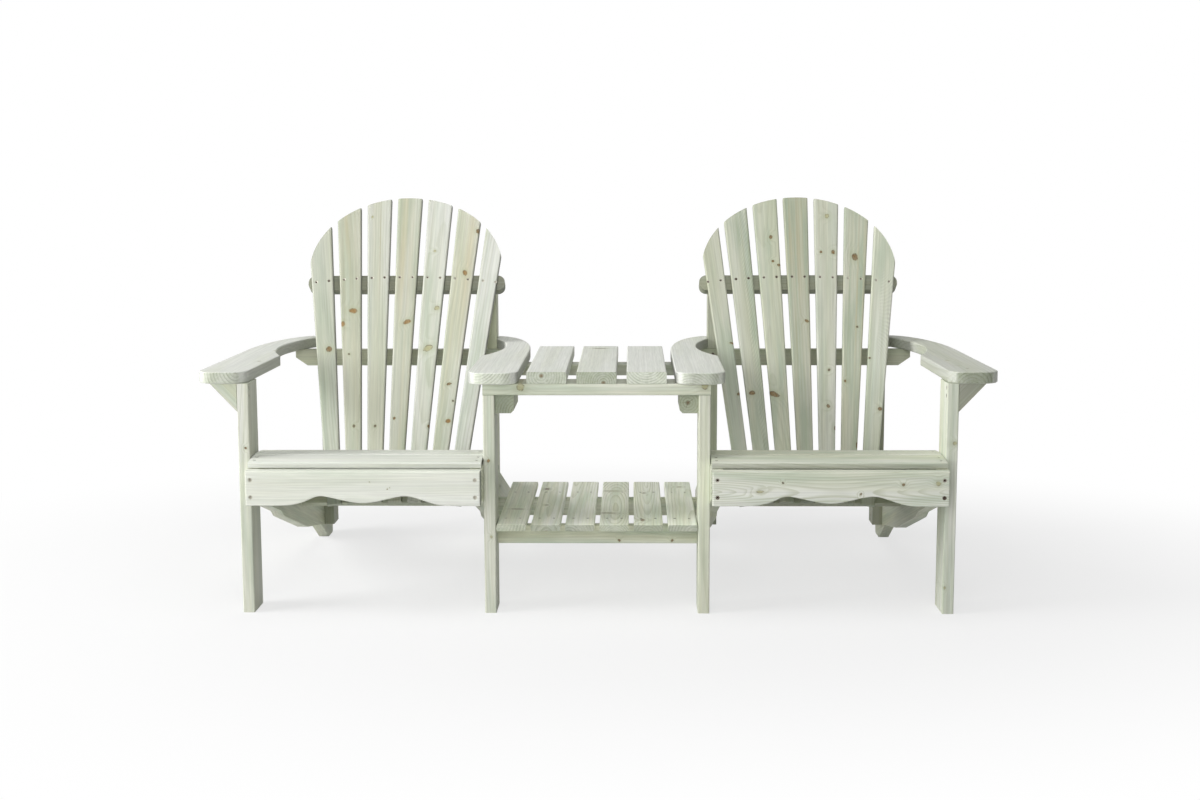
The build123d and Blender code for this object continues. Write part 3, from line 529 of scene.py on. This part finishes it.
# The aprons' sawn ends are darker partly by their tone and partly as painted shade where they turn from the
# key lamp, and the left apron's pale tone is partly painted sheen
APRONS = {
    "left": {"pith": (58, 30), "beige": 0.15, "green": 0.25, "pale": 1.0, "contrast": 0.12, "end_tone_and_painted_light": 0.5,
             "marks": ((17, 16, 3, 3, 0, "stained"), (58, 0, 3, 3, 0, "brown"), (64, 3, 3, 3, 0, "stained"))},
    "right": {"pith": (-5, -12), "ring": 5.0, "wander": 14, "bow": -18, "tilt": 0.6, "contrast": 0.6,
              "beige": 0.15, "green": 0.6, "pale": 0.75, "end_tone_and_painted_light": 0.75, "marks": (
                  (169, 11, 8, 8, 0, "brown"), (251, 14, 13, 12, 0, "stained"), (70, -12, 5, 5, 0, "brown"),
                  (-113, 15, 5, 5, 0, "dark"), (-166, -6, 20, 7, 6, "stained"))},
}
SEAT_LOG = {"pith": (40, 45), "pitch": SEAT_SLAT_STEP / MM, "start": SEAT_FIRST_GAP / MM}
# The seats' narrow edges are drawn lighter or darker as painted light and shade, their sawn ends partly so,
# and the left seat's pale tone is partly painted sheen
SEAT_SLATS = {
    "left": {"pale": 1.0, "beige": 0.1, "green": 0.2, "contrast": 0.2, "light": 0.97, "painted_edge_light": 1.06,
             "end_tone_and_painted_light": 0.55, "marks": ((-92, -77, 9, 7, 0, "brown"), (109, -75, 22, 6, 0, "brown"))},
    "right": {"pale": 0.5, "beige": 0.25, "green": 0.6, "painted_edge_light": 0.78, "marks": (
        (40, 20, 9, 8, 0, "brown"),)},
}


class CHAIR_OT_dress_seats(bpy.types.Operator):
    """Give the seat slats and the scalloped aprons their pine"""
    bl_idname = "chair.dress_seats"
    bl_label = "Dress Seats"

    def execute(self, context):
        for chair, side in CHAIRS.items():
            dress(f"{chair}_apron", X, Z, APRONS[chair])
            dress(f"{chair}_seat_slats", X, Y, {**SEAT_LOG, **SEAT_SLATS[chair]},
                  SEAT_FRONT + X * side * CHAIR_MIDDLE)
        return {"FINISHED"}


# Tone of the palest boards, which are the arms' and the table's tops: partly their own pale wood and partly
# painted sheen of the lit tops
PALE_TOPS_AND_SHEEN = {"beige": 0.05, "green": 0.12, "pale": 1.0, "contrast": 0.14}
# The arms' narrow edges are drawn darker as painted shade, and their light levels and sawn ends are partly
# tone and partly painted light and shade
ARMS = {
    "left_outer_arm": {**PALE_TOPS_AND_SHEEN, "pith": (20, -30), "light": 0.87, "painted_edge_light": 0.8, "marks": (
        (-212, 26, 10, 9, 0, "brown"), (41, 12, 9, 7, 0, "stained"))},
    "left_inner_arm": {**PALE_TOPS_AND_SHEEN, "pith": (-35, -34), "light": 0.93, "end_tone_and_painted_light": 1.15, "painted_edge_light": 0.68},
    "right_outer_arm": {"pith": (10, 26), "beige": 0.1, "green": 0.25, "pale": 0.7, "light": 0.81,
                        "ends": 0.9, "end_tone_and_painted_light": 0.8, "marks": (
                            (-196, -5, 12, 10, 0, "stained"), (-313, 2, 9, 8, 0, "stained"),
                            (-364, 12, 8, 8, 0, "brown"), (319, 3, 12, 9, 0, "stained"))},
    "right_inner_arm": {**PALE_TOPS_AND_SHEEN, "pith": (-24, 38), "light": 0.93, "end_tone_and_painted_light": 0.95, "painted_edge_light": 0.62},
}
# The right bracket is drawn about half as bright as the left one
BRACKET_LIGHT = {"left": 0.93, "right": 0.5}


class CHAIR_OT_dress_arms(bpy.types.Operator):
    """Give the arms and the brackets under them their pine"""
    bl_idname = "chair.dress_arms"
    bl_label = "Dress Arms"

    def execute(self, context):
        for node, spec in ARMS.items():
            dress(node, Y, X, spec)
        for chair, side in CHAIRS.items():
            slope = Vector((-side * BRACKET_ACROSS, 0, -BRACKET_DOWN))
            dress(f"{chair}_arm_bracket", slope, slope.cross(Y),
                  {"pith": (40, 30), "light": BRACKET_LIGHT[chair]})
        return {"FINISHED"}


# The legs' narrow edges are drawn lighter or darker as painted light and shade, for which way they face the
# key lamp
LEGS = {
    "left_outer": {"pale": 0.85, "light": 0.95, "painted_edge_light": 0.9, "marks": ((124, 4, 7, 7, 0, "brown"),)},
    "left_inner": {"beige": 0.3, "pale": 0.55, "painted_edge_light": 0.8, "marks": (
        (108, -1.5, 9, 7, 0, "amber"), (-78, 3, 8, 7, 0, "stained"))},
    "right_outer": {"beige": 0.3, "pale": 0.65, "light": 1.02, "painted_edge_light": 1.1, "marks": (
        (137, 6, 11, 11, 0, "stained"), (-215, -8.5, 9, 6, 0, "stained"))},
    "right_inner": {"pale": 0.55},
}
STRINGER = {"beige": 0.3, "pale": 0.35}
REAR_FRAME = {"beige": 0.4, "pale": 0.1}  # tone of the posts and the back rails
# The posts' light levels are painted shade, darker where their fronts lie deep in shade
POST_PAINTED_SHADE = {"left_outer": 0.5, "left_inner": 1.0, "right_outer": 0.55, "right_inner": 0.75}
# Which way each rail's width lies, and its light, which is partly the rails' darker wood and partly painted
# shade from the slats in front of them
BACK_RAILS = {
    "upper_back_rail": (UP_BACK, 0.46),
    "arm_back_rail": (Z, 0.72),
    "lower_back_rail": (UP_BACK, 0.8),
}


class CHAIR_OT_dress_frame(bpy.types.Operator):
    """Give the legs, stringers, posts and back rails their pine"""
    bl_idname = "chair.dress_frame"
    bl_label = "Dress Frame"

    def execute(self, context):
        for place, leg in LEGS.items():
            dress(f"{place}_front_leg", Z, X, leg)
            dress(f"{place}_stringer", DOWN_SEAT, OFF_SEAT, STRINGER)
            dress(f"{place}_back_post", Z, Y, {**REAR_FRAME, "light": POST_PAINTED_SHADE[place]})
        for chair in CHAIRS:
            for rail, (across, light) in BACK_RAILS.items():
                dress(f"{chair}_{rail}", X, across, {**REAR_FRAME, "light": light})
        return {"FINISHED"}


TABLE_LOG = {"tilt": 0.2, "wander": 8}
TABLE_SLATS = (
    {**PALE_TOPS_AND_SHEEN, "pith": (-12, -3), "ring": 6.5, "bow": 2, "light": 0.91, "ends": 0.7, "end_tone_and_painted_light": 1.03},
    {"pale": 0.95, "beige": 0.08, "green": 0.15, "contrast": 0.14, "pith": (16, 16), "ring": 5.5, "bow": 4,
     "light": 0.90, "ends": 0.9, "end_tone_and_painted_light": 0.95, "marks": (
         (231, 0, 10, 46, 0, "dark"), (236, 0, 9, 30, 0, "dark"))},
    {**PALE_TOPS_AND_SHEEN, "pith": (0, -34), "ring": 6.0, "bow": 3, "light": 0.91, "ends": 0.5, "end_tone_and_painted_light": 1.2},
)
# The front rail's top and bottom edges are drawn darker as painted shade under the table slats
TABLE_FRONT_RAIL = {"pith": (30, 60), "beige": 0.35, "painted_edge_light": 0.65, "marks": (
    (-181, 6, 21, 20, 0, "stained"), (257, 8, 19, 17, 0, "stained"))}
TABLE_BACK_RAIL = {"light": 0.7}
# The corner blocks are drawn darker partly by their tone and partly as painted shade under the front rail
CORNER_BLOCK = {"ring": 6.5, "wander": 6, "tilt": 0, "bow": 0, "green": 0.9, "pale": 0, "ends": 0.9,
                "light": 0.75}
CORNER_HEARTS = {"left": {"pith": (34, 20)}, "right": {"pith": (-3, -4), "shakes": 5}}


class CHAIR_OT_dress_table(bpy.types.Operator):
    """Give the table's slats, rails and corner blocks their pine"""
    bl_idname = "chair.dress_table"
    bl_label = "Dress Table"

    def execute(self, context):
        for number, spec in enumerate(TABLE_SLATS, start=1):
            dress(f"table_slat_{number}", Y, X, {**TABLE_LOG, **spec})
        dress("table_front_rail", X, Z, TABLE_FRONT_RAIL)
        dress("table_back_rail", X, Y, TABLE_BACK_RAIL)
        for chair in CHAIRS:
            dress(f"{chair}_corner_block", Y, X, {**CORNER_BLOCK, **CORNER_HEARTS[chair]})
        return {"FINISHED"}


# The shelf boards are drawn brighter than their wood as painted light, for light that reaches the shelf past
# the table and the left chair; their sawn ends' levels are partly tone and partly painted shade
SHELF_SLATS = (
    {"pith": (-60, -20), "ring": 7.5, "pale": 0.6, "light": 1.36, "end_tone_and_painted_light": 0.72, "beige": 0.3,
     "marks": ((-89, 3, 8, 34, 4, "brown"),)},
    {"pith": (3, 2), "ring": 14.0, "bow": -5, "tilt": 0.5, "wander": 6, "contrast": 0.8, "pale": 0.8,
     "light": 1.38, "end_tone_and_painted_light": 0.6, "marks": (
         (176, -18, 22, 14, 0, "brown"), (-38, -8, 14, 8, 0, "stained"))},
    {"pith": (-26, 16), "ring": 7.0, "tilt": 1.8, "wander": 12, "contrast": 0.6, "pale": 0.85,
     "light": 1.38, "end_tone_and_painted_light": 0.58},
    {"pith": (2, 12), "ring": 5.0, "bow": -14, "tilt": -1.0, "wander": 14, "contrast": 0.9, "pale": 0.7,
     "light": 1.28, "end_tone_and_painted_light": 0.72, "marks": (
         (149, -8, 12, 44, 0, "stained"), (-137, -14, 12, 40, 6, "stained"))},
    {"pith": (0, 10), "ring": 6.0, "bow": 4, "tilt": 3.0, "wander": 10, "contrast": 0.8, "pale": 0.7,
     "light": 1.26, "end_tone_and_painted_light": 0.6, "marks": (
         (-220, -14, 22, 12, 0, "brown"), (122, -8, 12, 9, 0, "brown"))},
    {"pith": (26, 22), "ring": 7.0, "tilt": -1.6, "wander": 14, "contrast": 0.6, "pale": 0.8,
     "light": 1.30, "end_tone_and_painted_light": 0.62, "marks": ((207, 5, 12, 14, 0, "stained"),)},
)
SHELF_FRONT_RAIL = {"green": 0.8, "marks": ((53, -14, 7, 7, 0, "brown"), (182, -14, 7, 7, 0, "brown"))}
SHELF_BACK_RAIL = {"green": 0.8, "light": 1.10}


class CHAIR_OT_dress_shelf(bpy.types.Operator):
    """Give the shelf's slats and rails their pine"""
    bl_idname = "chair.dress_shelf"
    bl_label = "Dress Shelf"

    def execute(self, context):
        for number, spec in enumerate(SHELF_SLATS, start=1):
            dress(f"shelf_slat_{number}", Y, X, spec)
        dress("shelf_front_rail", X, Z, SHELF_FRONT_RAIL)
        dress("shelf_back_rail", X, Z, SHELF_BACK_RAIL)
        return {"FINISHED"}


WELD = 1e-6  # points nearer than this are one point
FLAT = 1e-4  # points within this of a screw's end lie on its rim
SCREW_WAYS = (X, Y, Z, UP_BACK, OUT_OF_BACK, DOWN_SEAT, OFF_SEAT)


def read_screws(node):
    """Head middle, axis into the wood, head and shank radius and length of each screw in a CAD node."""
    mesh = bmesh.new()
    mesh.from_mesh(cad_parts[node].data)
    bmesh.ops.remove_doubles(mesh, verts=mesh.verts, dist=WELD)
    screws, seen = [], set()
    for first in mesh.verts:
        if first in seen:
            continue
        points, edge = [], [first]
        while edge:
            vert = edge.pop()
            if vert not in seen:
                seen.add(vert)
                points.append(vert.co.copy())
                edge.extend(link.other_vert(vert) for link in vert.link_edges)
        # The longest way across a screw runs from its head's rim to its point's rim
        middle = sum(points, Vector()) / len(points)
        far = max(points, key=lambda p: (p - middle).length)
        other = max(points, key=lambda p: (p - far).length)
        rough = (other - far).normalized()
        axis = max(SCREW_WAYS, key=lambda way: abs(way.dot(rough)))
        reach = [p.dot(axis) for p in points]
        ends = []
        for end in (min(reach), max(reach)):
            rim = [p for p, r in zip(points, reach) if abs(r - end) < FLAT]
            centre = sum(rim, Vector()) / len(rim)
            ends.append((max((p - centre).length for p in rim), centre))
        (shank, tip), (head, top) = sorted(ends, key=lambda pair: pair[0])
        screws.append((top, (tip - top).normalized(), head, shank, (tip - top).length))
    mesh.free()
    return screws


# How a screw is modelled. Widths are in head radii, and depths in necks, where a neck is as deep as the
# head's countersink.
HEAD_SIDES = 10
RIM_WIDTH, DISH_DEPTH = 0.34, 0.15
BAR_LENGTH, BAR_WIDTH, BAR_DEPTH = 1.16, 0.3, 1.2  # the bars that cut the cross recess
RECESS_SHADE_WIDTH, RECESS_SHADE_FROM, RECESS_SHADE_TO = 0.6, 0.09, 0.9  # where the dish and the recess are painted dark, as painted shade
# Where along X the heads are drawn pale and mottled all over, with plain plating in their recesses and no
# painted shade
PALE_HEADS = {"slat_screws": ((-0.50, -0.26), (0.68, 0.86)), "frame_screws": ((-0.90, 0.0),)}
STAIN_SIZE = 0.03
SPECK_SIZE = 0.002


class CHAIR_OT_drive_screws(bpy.types.Operator):
    """Model the countersunk screws with their cross recesses, painted shade in their dishes and recesses, and
    dulled plating
    """
    bl_idname = "chair.drive_screws"
    bl_label = "Drive Screws"

    def execute(self, context):
        looks = context.scene.screw_looks
        finish = self.plating(looks)
        recess_shade = self.matt_coat("recess_painted_shade", 0.4, looks.rust_and_recess_shade)
        pale_coat = self.matt_coat("pale_head_coat", 0.7, looks.dust)
        for node, pale_spans in PALE_HEADS.items():
            screws = read_screws(node)
            head, shank, length = screws[0][2:]
            pattern = self.model(context, head, shank, length)
            pattern.data.materials.append(finish)
            pattern.data.materials.append(recess_shade)
            neck = head - shank
            # Faces in the dish and the cross recess take the second material, whose dark colour is painted
            # shade
            for face in pattern.data.polygons:
                within = face.center.xy.length < RECESS_SHADE_WIDTH * head
                sunk = RECESS_SHADE_FROM * neck < -face.center.z < RECESS_SHADE_TO * neck
                face.material_index = int(within and sunk)
            draw = random.Random(node)
            copies = []
            for top, axis, *_ in screws:
                copy = pattern.copy()
                copy.data = pattern.data.copy()
                # These heads are drawn pale all over, and their recesses keep the plating without painted
                # shade
                if any(low < top.x < high for low, high in pale_spans):
                    copy.data.materials[0] = pale_coat
                    copy.data.materials[1] = finish
                turn = axis.to_track_quat("-Z", "Y").to_matrix().to_4x4()
                spin = Matrix.Rotation(draw.uniform(0, pi / 2), 4, "Z")
                copy.data.transform(Matrix.Translation(top) @ turn @ spin)
                context.collection.objects.link(copy)
                copies.append(copy)
            bpy.data.objects.remove(pattern)
            bpy.ops.object.select_all(action="DESELECT")
            for copy in copies:
                copy.select_set(True)
            context.view_layer.objects.active = copies[0]
            bpy.ops.object.join()
            piece = context.object
            piece.name = f"driven_{node}"
            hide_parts(node)
            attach(piece, "root")
        return {"FINISHED"}

    def model(self, context, head, shank, length):
        """One screw, head up at the origin: a countersunk head, a shank and a blunt point."""
        bpy.ops.object.select_all(action="DESELECT")
        bpy.ops.mesh.primitive_circle_add(vertices=HEAD_SIDES, radius=head, fill_type="NGON")
        screw = context.object
        bpy.ops.object.mode_set(mode="EDIT")
        neck = head - shank
        for drop, width in ((neck, shank / head), (length - neck, 1.0)):
            bpy.ops.mesh.extrude_region_move(TRANSFORM_OT_translate={"value": (0, 0, -drop)})
            bpy.ops.transform.resize(value=(width, width, 1))
        bpy.ops.mesh.select_all(action="SELECT")
        bpy.ops.mesh.normals_make_consistent(inside=False)
        # The head is dished inside its rim
        bpy.ops.mesh.select_all(action="DESELECT")
        bpy.ops.object.mode_set(mode="OBJECT")
        for face in screw.data.polygons:
            face.select = face.center.z > -WELD
        bpy.ops.object.mode_set(mode="EDIT")
        bpy.ops.mesh.inset(thickness=RIM_WIDTH * head, depth=-DISH_DEPTH * neck)
        bpy.ops.object.mode_set(mode="OBJECT")
        # The cross recess is cut by two crossed bars
        bars = []
        for turn in (0, pi / 2):
            bpy.ops.mesh.primitive_cube_add(size=1, rotation=(0, 0, turn))
            bar = context.object
            bar.scale = (BAR_LENGTH * head, BAR_WIDTH * head, BAR_DEPTH * neck)
            bpy.ops.object.transform_apply(location=True, rotation=True, scale=True)
            bars.append(bar)
        for bar in bars:
            cut = screw.modifiers.new("recess", "BOOLEAN")
            cut.operation = "DIFFERENCE"
            cut.object = bar
            context.view_layer.objects.active = screw
            bpy.ops.object.modifier_apply(modifier="recess")
            bpy.data.objects.remove(bar)
        return screw

    def plating(self, looks):
        """Zinc-plated steel that has gone dull in damp wood: grey, with brown stains on some heads."""
        material = bpy.data.materials.new("dulled_zinc_plated_steel")
        put = clear_nodes(material)
        where = put("ShaderNodeTexCoord")["Object"]
        # Patches of stain are about 30 mm across, so they differ from head to head
        stain = put("ShaderNodeTexNoise", {"Vector": where, "Scale": 1 / STAIN_SIZE, "Detail": 3.0})["Fac"]
        stain = put("ShaderNodeMapRange", (stain, 0.46, 0.66))[0]
        colour = put("ShaderNodeMix", {0: stain, 6: (*looks.zinc, 1), 7: (*looks.rust_and_recess_shade, 1)},
                     data_type="RGBA")[2]
        rough = put("ShaderNodeMapRange", (stain, 0, 1, 0.42, 0.7))[0]
        shader = put("ShaderNodeBsdfPrincipled", {"Base Color": colour, "Metallic": 0.7,
                                                  "Roughness": rough})[0]
        put("ShaderNodeOutputMaterial", {"Surface": shader})
        return material

    def matt_coat(self, name, depth, bright):
        """A matt coat on the heads, mottled from its own colour to a darker one: painted shade in the dishes
        and recesses, or the pale coat of heads drawn pale all over."""
        material = bpy.data.materials.new(name)
        put = clear_nodes(material)
        where = put("ShaderNodeTexCoord")["Object"]
        # Specks are about 2 mm, larger than real ones so that they show
        speck = put("ShaderNodeTexNoise", {"Vector": where, "Scale": 1 / SPECK_SIZE, "Detail": 2.0})["Fac"]
        dark = (*(depth * level for level in bright), 1)
        colour = put("ShaderNodeMix", {0: speck, 6: dark, 7: (*bright, 1)}, data_type="RGBA")[2]
        shader = put("ShaderNodeBsdfPrincipled", {"Base Color": colour, "Roughness": 0.9})[0]
        put("ShaderNodeOutputMaterial", {"Surface": shader})
        return material


LIGHT_UNIT = pi * pi  # watts per square metre of distance that light a white card fully
LAMP_AIM = Vector((0, 0, 0.4))
FLOOR_SIZE = 60
WHITE_SPAN = (0.9, 2.4)  # how far from the middle the floor turns plain white
WHITE_SHAPE = (1.0, 1.3, 1.0)  # what is left inside is wider than deep
# The photograph's view: a normal lens at chest height, tipped down
SENSOR_MM, LENS_MM = 36.0, 50.15
SIGHT = 100.0  # how far the camera sees
CAMERA_PLACE = (0.08185, -4.352, 1.0639)
PITCH, YAW, ROLL = 0.1375, 0.0187, -0.0025  # in radians


def seen_directly(put):
    """Tells the rays by which the camera sees the background, also in metal and glass, from lighting ones."""
    path = put("ShaderNodeLightPath")
    seen = put("ShaderNodeMath", (path["Is Camera Ray"], path["Is Glossy Ray"]), operation="MAXIMUM")[0]
    return put("ShaderNodeMath", (seen, path["Is Transmission Ray"]), operation="MAXIMUM")[0]


class CHAIR_OT_set_stage(bpy.types.Operator):
    """Set the pale floor, the studio light and the camera"""
    bl_idname = "chair.set_stage"
    bl_label = "Set Stage"

    def execute(self, context):
        looks = context.scene.stage_looks
        scene = context.scene
        scene.view_settings.view_transform = "Standard"
        for thing in context.selected_objects:
            thing.select_set(False)
        # Wide floor under a white sky
        bpy.ops.mesh.primitive_plane_add(size=FLOOR_SIZE)
        floor = context.object
        floor.name = "studio_floor"
        floor.data.materials.append(self.paper(looks))

        world = bpy.data.worlds.new("studio_air")
        put = clear_nodes(world)
        level = put("ShaderNodeMapRange", (seen_directly(put), 0, 1, looks.sky, 1.0))[0]
        air = put("ShaderNodeBackground", {"Color": (1, 1, 1, 1), "Strength": level})[0]
        put("ShaderNodeOutputWorld", {"Surface": air})
        scene.world = world

        lamps = (("key_lamp", Vector((-5.2, -1.45, 2.5)), 3.2, looks.key),
                 ("top_lamp", Vector((0.2, -1.0, 4.4)), 3.0, looks.top),
                 ("front_lamp", Vector((-0.6, -5.4, 1.9)), 3.0, looks.fill),
                 ("back_lamp", Vector((-0.3, 5.6, 1.2)), 2.4, looks.back))
        for name, place, size, share in lamps:
            lamp = bpy.data.lights.new(name, "AREA")
            lamp.shape = "DISK"
            lamp.size = size
            lamp.energy = share * LIGHT_UNIT * (place - LAMP_AIM).length_squared
            thing = bpy.data.objects.new(name, lamp)
            scene.collection.objects.link(thing)
            thing.location = place
            thing.rotation_euler = (LAMP_AIM - place).to_track_quat("-Z", "Y").to_euler()
            # The lamp behind gives no glare on the tops of the table and the shelf
            thing.visible_glossy = name != "back_lamp"

        lens = bpy.data.cameras.new("front_camera")
        lens.sensor_width = SENSOR_MM
        lens.lens = LENS_MM
        lens.clip_end = SIGHT
        camera = bpy.data.objects.new("front_camera", lens)
        scene.collection.objects.link(camera)
        turn = (Matrix.Rotation(YAW, 4, "Z") @ Matrix.Rotation(pi / 2 - PITCH, 4, "X")
                @ Matrix.Rotation(ROLL, 4, "Z"))
        camera.matrix_world = Matrix.Translation(CAMERA_PLACE) @ turn
        scene.camera = camera
        return {"FINISHED"}

    def paper(self, looks):
        """Matt white studio paper. The camera sees part of it as plain white, and all of it further off, so
        the floor runs into the white behind and only the chair's shadow is left."""
        material = bpy.data.materials.new("studio_paper")
        put = clear_nodes(material)
        paper = put("ShaderNodeBsdfDiffuse", {"Color": (*looks.floor, 1)})[0]
        where = put("ShaderNodeTexCoord")["Object"]
        away = put("ShaderNodeVectorMath", (where, WHITE_SHAPE), operation="MULTIPLY")[0]
        away = put("ShaderNodeVectorMath", (away,), operation="LENGTH")["Value"]
        white = put("ShaderNodeMapRange", (away, *WHITE_SPAN, looks.floor_white), **SMOOTH)[0]
        share = put("ShaderNodeMath", (seen_directly(put), white), operation="MULTIPLY")[0]
        glow = put("ShaderNodeEmission", {"Strength": 1.0})[0]
        both = put("ShaderNodeMixShader", (share, paper, glow))[0]
        put("ShaderNodeOutputMaterial", {"Surface": both})
        return material


class CHAIR_PT_looks(bpy.types.Panel):
    """Sidebar panel with the chair's looks"""
    bl_idname = "CHAIR_PT_looks"
    bl_label = "Double Adirondack Chair"
    bl_space_type = "VIEW_3D"
    bl_region_type = "UI"
    bl_category = "Chair"

    def draw(self, context):
        for group in GROUPS:
            looks = getattr(context.scene, group)
            box = self.layout.box()
            for name in looks.__annotations__:
                box.prop(looks, name)
        for operator in OPERATORS:
            self.layout.operator(operator.bl_idname)


GROUPS = {"pine_looks": PineLooks, "screw_looks": ScrewLooks, "stage_looks": StageLooks}
OPERATORS = (CHAIR_OT_dress_backs, CHAIR_OT_dress_seats, CHAIR_OT_dress_arms, CHAIR_OT_dress_frame,
             CHAIR_OT_dress_table, CHAIR_OT_dress_shelf, CHAIR_OT_drive_screws, CHAIR_OT_set_stage)


def register():
    for cls in (*GROUPS.values(), *OPERATORS, CHAIR_PT_looks):
        bpy.utils.register_class(cls)
    for name, group in GROUPS.items():
        setattr(bpy.types.Scene, name, bpy.props.PointerProperty(type=group))


def unregister():
    for name in GROUPS:
        delattr(bpy.types.Scene, name)
    for cls in reversed((*GROUPS.values(), *OPERATORS, CHAIR_PT_looks)):
        bpy.utils.unregister_class(cls)


def main():
    register()
    bpy.ops.chair.dress_backs()
    bpy.ops.chair.dress_seats()
    bpy.ops.chair.dress_arms()
    bpy.ops.chair.dress_frame()
    bpy.ops.chair.dress_table()
    bpy.ops.chair.dress_shelf()
    bpy.ops.chair.drive_screws()
    bpy.ops.chair.set_stage()


if __name__ == "__main__":
    main()
